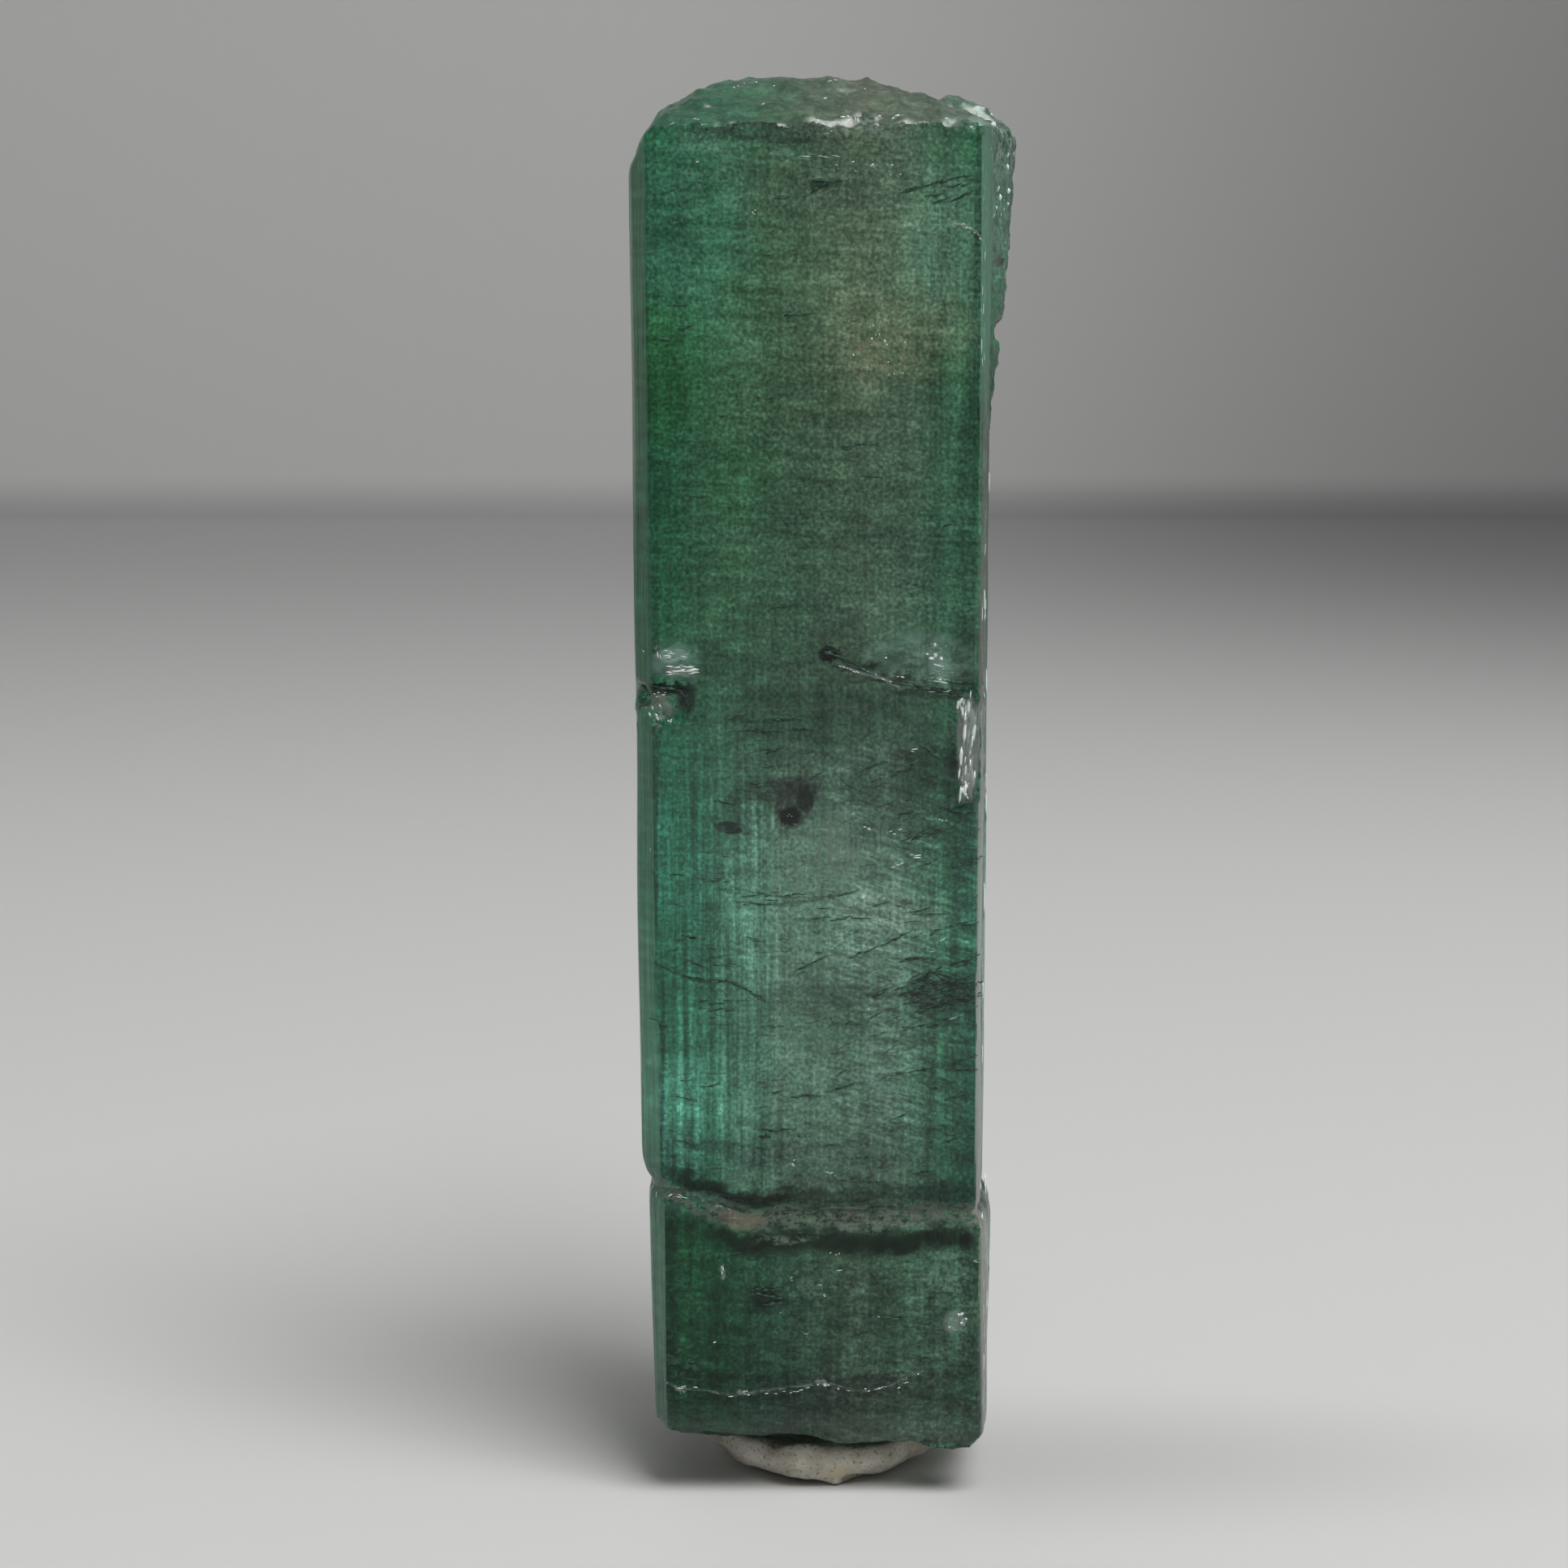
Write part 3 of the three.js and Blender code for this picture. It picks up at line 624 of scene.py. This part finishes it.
# thicker streaks, in three layers
THICK_STREAKS = [
    (2.8, 15.4, 1.25, 18), (3.5, 15.5, 1.45, 20), (3.3, 15.3, 2.0, 20), (3.5, 15.0, 1.6, 21),
    (3.0, 15.8, 0.9, 24), (-1.7, 6.4, 1.0, 0), (-1.5, 5.9, 0.6, 10), (-1.6, 6.2, 0.8, -12),
    (0.35, 25.1, 0.7, -18), (0.2, 25.15, 0.4, 20), (1.0, 24.75, 0.9, -22), (2.6, 24.25, 1.4, -8),
    (3.7, 24.0, 1.0, -6), (3.9, 24.35, 0.6, 0), (-4.5, 24.2, 0.9, -12), (-4.0, 23.9, 0.5, -60),
    (-4.1, 23.75, 0.5, 45), (-1.7, 11.0, 0.25, 0),
]
# swarms: left, right, lowest, highest, count, length, thickness and slope
SWARMS = [
    (-4.6, 4.2, 26.0, 39.0, 60, 0.3, 0.04, 3), (-4.0, 0.4, 21.5, 23.6, 16, 0.4, 0.05, 4),
    (0.6, 4.3, 18.8, 22.2, 44, 0.3, 0.04, 22), (1.4, 4.2, 20.4, 22.2, 8, 0.35, 0.06, 30),
    (2.2, 4.4, 18.8, 20.6, 16, 0.5, 0.08, 20), (-4.4, 0.4, 14.0, 19.5, 60, 0.35, 0.04, -3),
    (0.2, 4.3, 12.8, 18.4, 90, 0.4, 0.04, 18), (2.4, 4.4, 14.4, 16.4, 30, 0.6, 0.09, 22),
    (-4.4, 4.3, 9.8, 13.0, 60, 0.4, 0.05, 4), (-4.2, 4.2, 2.6, 7.4, 60, 0.35, 0.05, 2),
    (-2.4, -1.3, 20.9, 21.5, 14, 0.4, 0.07, -10),
]
flakes = bmesh.new()
for x, z, length, slope in STREAKS:
    add_streak(flakes, x, z, length, slope)
for x, z, length, slope in THICK_STREAKS:
    for layer in range(3):
        add_streak(flakes, x, z + chance.gauss(0, 0.06), length, slope, thick=0.1, depth=layer * 0.12)
for start, end in zip(WAVY_EDGE, WAVY_EDGE[1:]):
    run = Vector(end) - Vector(start)
    middle = (Vector(start) + Vector(end)) / 2
    add_streak(flakes, middle.x, middle.y, run.length, math.degrees(math.atan2(run.y, run.x)))
for left, right, low, high, count, length, thick, slope in SWARMS:
    for _ in range(count):
        x = chance.uniform(left, right)
        z = chance.uniform(low, high)
        long = length * chance.uniform(0.4, 1.7)
        lean = chance.gauss(slope, 8)
        add_streak(flakes, x, z, long, lean, thick=thick, depth=chance.uniform(0.0, 0.16))

foreign, tree, shader = started_material("dark foreign matter")
in_mm = in_millimetres(tree)[0]
mottled = add_node(tree, "TexNoise", {"Vector": in_mm, "Scale": 5, "Detail": 2}).outputs["Fac"]
tone = mixed(tree, eased(tree, mottled, 0.35, 0.7), (0.01, 0.03, 0.02, 1), (0.04, 0.12, 0.08, 1))
tree.links.new(tone, shader.inputs["Base Color"])
shader.inputs["Roughness"].default_value = 0.55
new_piece(flakes, "dark_flakes", foreign)

# ---- the pocket ------------------------------------------------------------------------------
# A small torn cavity in the middle of the crystal, with a straight sloping right side and dark
# glassy walls, and a flat dark lens of the same matter to its left.

# the cavity's outline, and the lens beside it: its place, width and height
POCKET = [
    (-1.7, 21.45), (-0.8, 21.6), (-0.02, 21.5), (-0.2, 21.0), (-0.45, 20.5), (-0.72, 20.14),
    (-1.1, 20.08), (-1.42, 20.3), (-1.4, 20.7), (-1.3, 21.1),
]
LENSES = [(-2.75, 20.15, 0.95, 0.36), (-2.4, 20.05, 0.6, 0.25)]


def only_vertices(geometry):
    """The vertices among the parts that an operator made."""
    return [part for part in geometry if isinstance(part, bmesh.types.BMVert)]


hollow = bmesh.new()
corners = [hollow.verts.new(seen_at(x, z, 0.35)) for x, z in POCKET]
face = hollow.faces.new(corners)
grown = bmesh.ops.extrude_face_region(hollow, geom=[face])["geom"]
bmesh.ops.translate(hollow, verts=only_vertices(grown), vec=(0, 0.7 * MM, 0))
bmesh.ops.recalc_face_normals(hollow, faces=hollow.faces)
bmesh.ops.triangulate(hollow, faces=hollow.faces)
bmesh.ops.subdivide_edges(hollow, edges=hollow.edges, cuts=3, use_grid_fill=True)
# torn walls, the same each time
noise.seed_set(6)
for vertex in hollow.verts:
    vertex.co += noise.noise_vector(vertex.co / (0.3 * MM)) * 0.07 * MM
for x, z, wide, high in LENSES:
    add_flake(hollow, seen_at(x, z, 0.5), (wide, 0.3, high), -4, faces=2)
new_piece(hollow, "pocket", foreign)

# ---- pale flakes -----------------------------------------------------------------------------
# Air films in the old cracks: thin as breath, they mirror the light in white and mint glints, and that
# white and mint is painted glint and reflection in their colour. They fill the two ends of the upper
# crack, the splintered right edge, the ledge under the crown, and stand as single glints in the veils and
# the foot.

# single painted glints: the place across and up, width, height and slope
GLINTS = [
    (2.6, 22.4, 0.47, 0.08, 0), (1.2, 20.1, 0.28, 0.08, 10), (3.4, 20.4, 0.2, 0.07, 0),
    (2.5, 19.3, 0.6, 0.07, 8), (2.2, 19.0, 0.4, 0.1, 10), (2.0, 20.0, 0.28, 0.08, 0),
    (-0.95, 20.5, 0.14, 0.03, 15), (-4.2, 25.15, 0.5, 0.08, 3), (-4.0, 24.66, 0.6, 0.1, 4),
    (-4.75, 25.2, 0.06, 0.4, 0), (-5.15, 25.15, 0.12, 0.12, 0), (-4.6, 24.05, 0.3, 0.08, 5),
    (-4.8, 9.4, 0.5, 0.05, -8), (-4.5, 9.2, 0.4, 0.04, 28), (-4.2, 9.15, 0.5, 0.04, -18),
    (-4.9, 9.15, 0.05, 0.3, 8), (-4.35, 40.0, 0.4, 0.06, 20), (-3.6, 40.15, 0.4, 0.07, 5),
    (-2.5, 41.0, 0.12, 0.1, 0), (-1.9, 41.1, 0.15, 0.1, 0), (1.0, 41.0, 0.3, 0.1, -10),
    (0.2, 41.2, 0.3, 0.06, 0), (-3.6, 38.95, 0.12, 0.06, 25), (0.0, 39.15, 0.8, 0.04, -5),
    (-4.15, 3.38, 0.2, 0.06, 0), (-2.4, 3.25, 0.16, 0.06, 0), (0.0, 3.52, 0.2, 0.05, 0),
    (-4.9, 23.85, 0.1, 0.25, 0), (-4.75, 23.5, 0.25, 0.12, 30), (-4.4, 23.3, 0.15, 0.12, 0),
    (3.25, 25.2, 0.25, 0.3, 0), (3.3, 24.8, 0.35, 0.1, 0), (3.4, 24.35, 0.9, 0.07, -8),
    (2.2, 24.5, 0.3, 0.06, 0), (3.3, 24.1, 0.6, 0.05, -5), (3.95, 23.85, 0.2, 0.5, -8),
    (4.0, 23.5, 0.12, 0.4, 0), (4.05, 21.3, 0.16, 0.35, 15), (-0.9, 10.2, 0.22, 0.1, 15),
    (0.2, 9.9, 0.38, 0.05, 19), (-2.95, 6.95, 0.1, 0.3, 0), (0.05, 6.2, 0.12, 0.1, 0),
    (-1.0, 6.7, 0.14, 0.07, 0), (-0.1, 6.5, 0.1, 0.1, 0), (-0.5, 5.0, 0.12, 0.06, 20),
    (0.35, 7.45, 0.2, 0.05, 40), (0.5, 6.95, 0.25, 0.05, -15), (-5.0, 19.5, 0.05, 0.3, 0),
    (4.4, 7.2, 0.4, 0.05, 0), (-2.0, 37.6, 0.1, 0.1, 0),
]
# scattered sparks of painted glint: left, right, lowest, highest, count, width, height, slope and deepest
SPARKS = [
    (3.62, 4.22, 5.1, 5.7, 50, 0.08, 0.07, 0, 0.1), (0.3, 2.2, 38.6, 39.2, 26, 0.12, 0.04, 8, 0.2),
    (-4.45, -3.7, 24.58, 24.84, 44, 0.28, 0.05, 3, 0.06),
    (-4.7, -3.9, 24.95, 25.3, 26, 0.24, 0.05, 2, 0.12),
    (-5.15, -4.55, 23.9, 24.1, 16, 0.16, 0.05, -5, 0.08),
    (-5.1, -4.6, 23.2, 23.8, 24, 0.06, 0.18, 30, 0.12),
    (2.9, 3.6, 24.95, 25.45, 16, 0.12, 0.08, 0, 0.08),
    (2.9, 3.7, 24.4, 24.75, 18, 0.22, 0.04, -5, 0.08), (1.5, 3.9, 24.3, 25.6, 26, 0.08, 0.05, 10, 0.2),
    (3.86, 4.3, 21.0, 24.0, 60, 0.09, 0.55, -4, 0.16),
    (3.86, 4.15, 23.3, 24.0, 16, 0.1, 0.3, -10, 0.06), (3.95, 4.2, 21.0, 21.6, 10, 0.09, 0.3, 15, 0.06),
    (-0.3, 2.1, 39.9, 40.25, 60, 0.14, 0.06, 0, 0.2), (2.7, 4.2, 39.9, 40.4, 30, 0.12, 0.06, 0, 0.2),
    (-3.0, 0.6, 40.2, 41.2, 30, 0.12, 0.06, 20, 0.2), (-4.8, 4.3, 39.7, 40.1, 10, 0.2, 0.04, 0, 0.2),
    (0.5, 2.3, 33.0, 34.6, 45, 0.05, 0.08, 0, 0.1), (1.0, 4.2, 18.8, 22.4, 14, 0.14, 0.04, 15, 0.2),
    (1.0, 4.2, 13.5, 17.5, 30, 0.3, 0.03, 20, 0.2), (-3.5, 4.2, 4.6, 7.2, 26, 0.12, 0.04, 10, 0.15),
    (4.6, 5.6, 37.0, 40.4, 70, 0.14, 0.18, 0, 0.12), (4.4, 4.5, 33.0, 39.6, 40, 0.03, 0.45, 0, 0.1),
    (4.6, 4.8, 9.2, 22.0, 130, 0.06, 0.9, 0, 0.2), (4.48, 4.7, 22.0, 33.0, 70, 0.06, 0.8, 0, 0.2),
    (4.72, 4.95, 2.4, 8.4, 70, 0.06, 0.7, 0, 0.2), (4.95, 5.4, 32.0, 36.0, 20, 0.06, 0.3, 0, 0.2),
]
# fine bright cracks, their brightness painted glint, as points across and up
CRACKS = [
    ((0.4, 24.85), (1.0, 24.6), (1.3, 24.65), (1.95, 24.3)),
    ((3.5, 37.3), (3.85, 37.28), (4.1, 37.15), (4.42, 36.85)),
    (
        (-4.7, 3.6), (-4.3, 3.35), (-3.6, 3.3), (-2.8, 3.1), (-2.0, 3.15), (-1.2, 3.2), (-0.6, 3.3),
        (0.0, 3.45), (0.6, 3.3), (1.2, 3.25), (1.8, 3.4), (2.2, 3.35), (2.6, 3.6), (2.95, 3.85),
    ),
]
films = bmesh.new()
for x, z, wide, high, slope in GLINTS:
    place = seen_at(x, z, 0.01)
    if place:
        for _ in range(3):
            aside = Vector((chance.gauss(0, wide * 0.3), 0, chance.gauss(0, high * 0.5))) * MM
            size = (wide * 0.5, 0.04, high * 0.5)
            add_flake(films, place + aside, size, chance.gauss(slope, 9), raggedness=0.6)
for left, right, low, high, count, wide, tall, slope, deepest in SPARKS:
    for _ in range(count):
        x = chance.uniform(left, right)
        z = chance.uniform(low, high)
        place = seen_at(x, z, chance.uniform(0, deepest))
        if place:
            big = chance.uniform(0.4, 1.4)
            lean = chance.gauss(slope, 2 if tall > 0.3 else 12)
            add_flake(films, place, (wide * big, 0.06, tall * big), lean)
for crack in CRACKS:
    for start, end in zip(crack, crack[1:]):
        reach = Vector(end) - Vector(start)
        for step in range(6):
            spot_mm = Vector(start) + reach * (step + 0.5) / 6
            place = seen_at(spot_mm.x, spot_mm.y + chance.gauss(0, 0.03), chance.uniform(-0.01, 0.05))
            if place:
                size = (reach.length / 6 * chance.uniform(0.6, 1.6), 0.05, chance.uniform(0.015, 0.045))
                add_flake(films, place, size, math.degrees(math.atan2(reach.y, reach.x)))

glint_film, tree, shader = started_material("air film")
in_mm = in_millimetres(tree)[0]
mottled = add_node(tree, "TexNoise", {"Vector": in_mm, "Scale": 2.5, "Detail": 2}).outputs["Fac"]
tone = mixed(tree, eased(tree, mottled, 0.35, 0.7), (0.7, 0.86, 0.79, 1), (1, 1, 1, 1))
tree.links.new(tone, shader.inputs["Base Color"])
shader.inputs["Roughness"].default_value = 0.2
shader.inputs["Metallic"].default_value = 0.1
new_piece(films, "air_film_glints", glint_film)

# ---- the healed crack ------------------------------------------------------------------------
# The crystal once broke right across above its foot and grew together again. The old break is
# filled with crumbs of clay and quartz, beige and grey-white, thickest where it meets the faces.

HEALED = [
    (-5.3, 9.25), (-4.4, 9.2), (-3.6, 8.8), (-2.9, 8.45), (-2.0, 8.55), (0.0, 8.5), (2.0, 8.55),
    (4.7, 8.65),
]


def healed_height(x):
    """How high the old break stands at x, in millimetres."""
    for (near, low), (far, high) in zip(HEALED, HEALED[1:]):
        if x <= far:
            return low + (high - low) * (x - near) / (far - near)
    return HEALED[-1][1]


crumbs = bmesh.new()
for _ in range(420):
    x = chance.uniform(-5.1, 4.8)
    spread = 0.1 if x < -3.6 else 0.2
    place = seen_at(x, healed_height(x) + chance.gauss(0, spread), chance.uniform(0.08, 0.5))
    if place:
        big = chance.uniform(0.03, 0.12)
        add_flake(crumbs, place, (big * 1.4, big, big * 0.8), chance.gauss(0, 25), raggedness=0.6)
# a dark sheet deep inside along the break, partly the old crack and partly painted shade for the dark
# bands beside it; more crumbs lie nearer the faces
shadowed = bmesh.new()
for _ in range(700):
    x = chance.uniform(-5.4, 5.4)
    y = chance.uniform(-3.9, 3.9)
    place = Vector((x, y, healed_height(x) - 0.1 + chance.gauss(0, 0.05))) * MM
    _, near, outward, _ = crystal.closest_point_on_mesh(place)
    out = (place - near).dot(outward)
    if out < -0.6 * MM and y < 0.5:
        add_flake(shadowed, place, (0.6, 0.6, 0.06), chance.gauss(0, 4), raggedness=0.6)
    elif -0.6 * MM < out < -0.1 * MM and y > -3:
        big = chance.uniform(0.1, 0.3)
        add_flake(crumbs, place, (big * 1.3, big * 1.3, big * 0.5), chance.gauss(0, 10), raggedness=0.6)
new_piece(shadowed, "healed_crack_shadow_film", foreign)

clay, tree, shader = started_material("clay and quartz crumbs")
in_mm, x_mm, _, z_mm = in_millimetres(tree)
mottled = add_node(tree, "TexNoise", {"Vector": in_mm, "Scale": 4, "Detail": 3}).outputs["Fac"]
tone = mixed(tree, eased(tree, mottled, 0.4, 0.62), (0.14, 0.17, 0.14, 1), (0.5, 0.52, 0.45, 1))
pink = patch(tree, flattened(tree, x_mm, z_mm), (-2.3, 8.45), (0.7, 0.4))
tone = mixed(tree, product(tree, pink, 0.8), tone, (0.6, 0.48, 0.4, 1))
tree.links.new(tone, shader.inputs["Base Color"])
shader.inputs["Roughness"].default_value = 0.6
new_piece(crumbs, "healed_crack_fill", clay)

# ---- the putty dab ---------------------------------------------------------------------------
# A pinch of grey-beige mineral putty under the foot, pressed flat by hand on the table. It is soft
# when it is set, so it has thumbed sides, a few pits, and dust of the same colour in them.


def thumbed(place):
    """How far the putty stands out from its plain solid at a place."""
    lumps = noise.fractal(place / (1.4 * MM), 0.8, 2.0, 3) * 0.09 * MM
    pits = max(0.0, noise.noise(place / (0.32 * MM)) - 0.42) * 0.35 * MM
    return (lumps - pits) * (1 if place.z > 0.15 * MM else 0)


def tucked(place):
    """The place drawn in under the putty's blunt, rounded lower edge."""
    x, y, z = place / MM
    reach = (abs((x - 0.1) / 2.8) ** 1.9 + abs((y + 0.05) / 3.05) ** 1.9) ** (1 / 1.9)
    keep = min(1.0, (1 + 0.8 * min(z, 0.5)) / max(reach, 0.1))
    return Vector((x * keep, y * keep, z)) * MM


dab = merged_copy("putty_dab", "dab")
remesh = dab.modifiers.new("fine skin", "REMESH")
remesh.mode = "VOXEL"
remesh.voxel_size = 0.08 * MM
rounded = dab.modifiers.new("rounded by hand", "SMOOTH")
rounded.factor = 0.5
rounded.iterations = 24
mesh = made_mesh(dab)
places = [tucked(vertex.co) + vertex.normal * thumbed(vertex.co) for vertex in mesh.vertices]
mesh.vertices.foreach_set("co", [number for place in places for number in place])
mesh.update()
mesh.shade_smooth()

putty, tree, shader = started_material("putty")
in_mm, x_mm, _, z_mm = in_millimetres(tree)
lumpy = {"Vector": in_mm, "Scale": 1.1, "Detail": 5, "Roughness": 0.6}
cloud = add_node(tree, "TexNoise", lumpy).outputs["Fac"]
grain = add_node(tree, "TexNoise", {"Vector": in_mm, "Scale": 9, "Detail": 2}).outputs["Fac"]
tone = mixed(tree, eased(tree, cloud, 0.35, 0.65), (0.36, 0.33, 0.27, 1), (0.52, 0.5, 0.44, 1))
tone = mixed(tree, eased(tree, grain, 0.42, 0.3, 0.0, 0.7), tone, (0.14, 0.12, 0.09, 1))
stain = patch(tree, flattened(tree, x_mm, z_mm), (0.5, 0.5), (0.5, 0.35))
tone = mixed(tree, product(tree, stain, 0.4), tone, (0.5, 0.4, 0.2, 1))
tree.links.new(tone, shader.inputs["Base Color"])
shader.inputs["Roughness"].default_value = 0.85
pores = add_node(tree, "Bump", {"Height": grain, "Strength": 0.5, "Distance": 0.00008}).outputs["Normal"]
tree.links.new(pores, shader.inputs["Normal"])
dab.data.materials.clear()
dab.data.materials.append(putty)
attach(dab, "root")
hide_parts("putty_dab")

# ---- floor and walls -------------------------------------------------------------------------
# A pale table top that runs up into plain painted walls, with rounded corners. The paint has soft painted
# shade and shadows in it, because the glossy front of the crystal mirrors the floor before it.

ROOM_REACH = 369 * MM
ROOM_HEIGHT = 520 * MM
ROOM_CORNER = 200 * MM

room_shape = bmesh.new()
bmesh.ops.create_grid(room_shape, x_segments=1, y_segments=1, size=ROOM_REACH)
bmesh.ops.bevel(
    room_shape, geom=room_shape.verts[:], offset=ROOM_CORNER, segments=12, profile=0.5,
    affect="VERTICES", material=-1,
)
rim = [edge for edge in room_shape.edges if edge.is_boundary]
walls = bmesh.ops.extrude_edge_only(room_shape, edges=rim)["geom"]
bmesh.ops.translate(room_shape, verts=only_vertices(walls), vec=(0, 0, ROOM_HEIGHT))
room_mesh = bpy.data.meshes.new("room")
room_shape.to_mesh(room_mesh)
room_shape.free()
room = bpy.data.objects.new("room", room_mesh)
bpy.context.collection.objects.link(room)
PALE_PAINT = (0.7, 0.7, 0.69, 1)
FAR_FLOOR_SHADE = (0.5, 0.5, 0.5, 1)
DARK_SHADE = (0.16, 0.16, 0.16, 1)
NEAR_FLOOR_SHADE = (0.3, 0.3, 0.295, 1)
FOOT_SHADE = (0.27, 0.27, 0.265, 1)
SIDE_SHADE = (0.36, 0.36, 0.355, 1)
BEHIND_GREY = (0.18, 0.18, 0.18, 1)
paint, tree, shader = started_material("pale paint with painted shade")
spot = add_node(tree, "TexCoord").outputs["Object"]
x, y, z = add_node(tree, "SeparateXYZ", {"Vector": spot}).outputs
low = eased(tree, z, 0.006, 0.0)
# painted shade: darker far away, most of all on the right
far = eased(tree, y, 0.08, 0.34)
right = product(tree, eased(tree, x, -0.03, 0.13), far)
tone = mixed(tree, product(tree, far, low), PALE_PAINT, FAR_FLOOR_SHADE)
tone = mixed(tree, product(tree, right, 0.6), tone, DARK_SHADE)
# a broad painted shade over the near floor, and a small soft oval of painted shadow in front of the foot
from_middle = maths(tree, "ABSOLUTE", x)
near_shade = product(tree, eased(tree, y, -0.009, -0.05), eased(tree, from_middle, 0.14, 0.02))
near_shade = product(tree, near_shade, eased(tree, y, -0.34, -0.12))
tone = mixed(tree, product(tree, product(tree, near_shade, low), 0.6), tone, NEAR_FLOOR_SHADE)
foot_shadow = product(tree, eased(tree, y, -0.0092, -0.0128), eased(tree, from_middle, 0.018, 0.006))
foot_shadow = product(tree, foot_shadow, eased(tree, y, -0.06, -0.032))
tone = mixed(tree, product(tree, foot_shadow, low), tone, FOOT_SHADE)
# painted shade beside the foot on the right and on the far floor on the right, and the wall behind
shade = patch(tree, flattened(tree, x, y), (0.006, -0.001), (0.022, 0.008), 1.0, 0.42)
shade = product(tree, product(tree, shade, low), eased(tree, x, 0.002, 0.006))
tone = mixed(tree, shade, tone, SIDE_SHADE)
far_right_shade = product(tree, product(tree, eased(tree, x, -0.02, 0.09), far), low)
tone = mixed(tree, product(tree, far_right_shade, 0.42), tone, DARK_SHADE)
behind = eased(tree, y, -0.1, -0.3)
tone = mixed(tree, product(tree, behind, 0.9), tone, BEHIND_GREY)
tree.links.new(tone, shader.inputs["Base Color"])
shader.inputs["Roughness"].default_value = 0.7
room_mesh.materials.append(paint)

# ---- light and camera ------------------------------------------------------------------------
# One big soft window, high in front and to the right, and a little light from the open ceiling.

key = bpy.data.lights.new("window", "AREA")
key.shape = "RECTANGLE"
key.size = 0.22
key.size_y = 0.2
key.energy = 1.28
window = bpy.data.objects.new("window", key)
bpy.context.collection.objects.link(window)
window.location = (0.11, -0.14, 0.35)
window.rotation_euler = (Vector((0, 0.02, 0.0)) - window.location).to_track_quat("-Z", "Y").to_euler()

world = bpy.data.worlds.new("sky")
bpy.context.scene.world = world
world.use_nodes = True
world.node_tree.nodes["Background"].inputs["Color"].default_value = (0.98, 0.99, 1, 1)
world.node_tree.nodes["Background"].inputs["Strength"].default_value = 0.24

lens = bpy.data.cameras.new("camera")
lens.sensor_width = 36
lens.lens = 77.89
lens.clip_start = 0.005
lens.clip_end = 5
camera = bpy.data.objects.new("camera", lens)
bpy.context.collection.objects.link(camera)
camera.location = EYE
camera.rotation_euler = (math.radians(81), 0, 0)
bpy.context.scene.camera = camera
bpy.context.scene.view_settings.view_transform = "Standard"
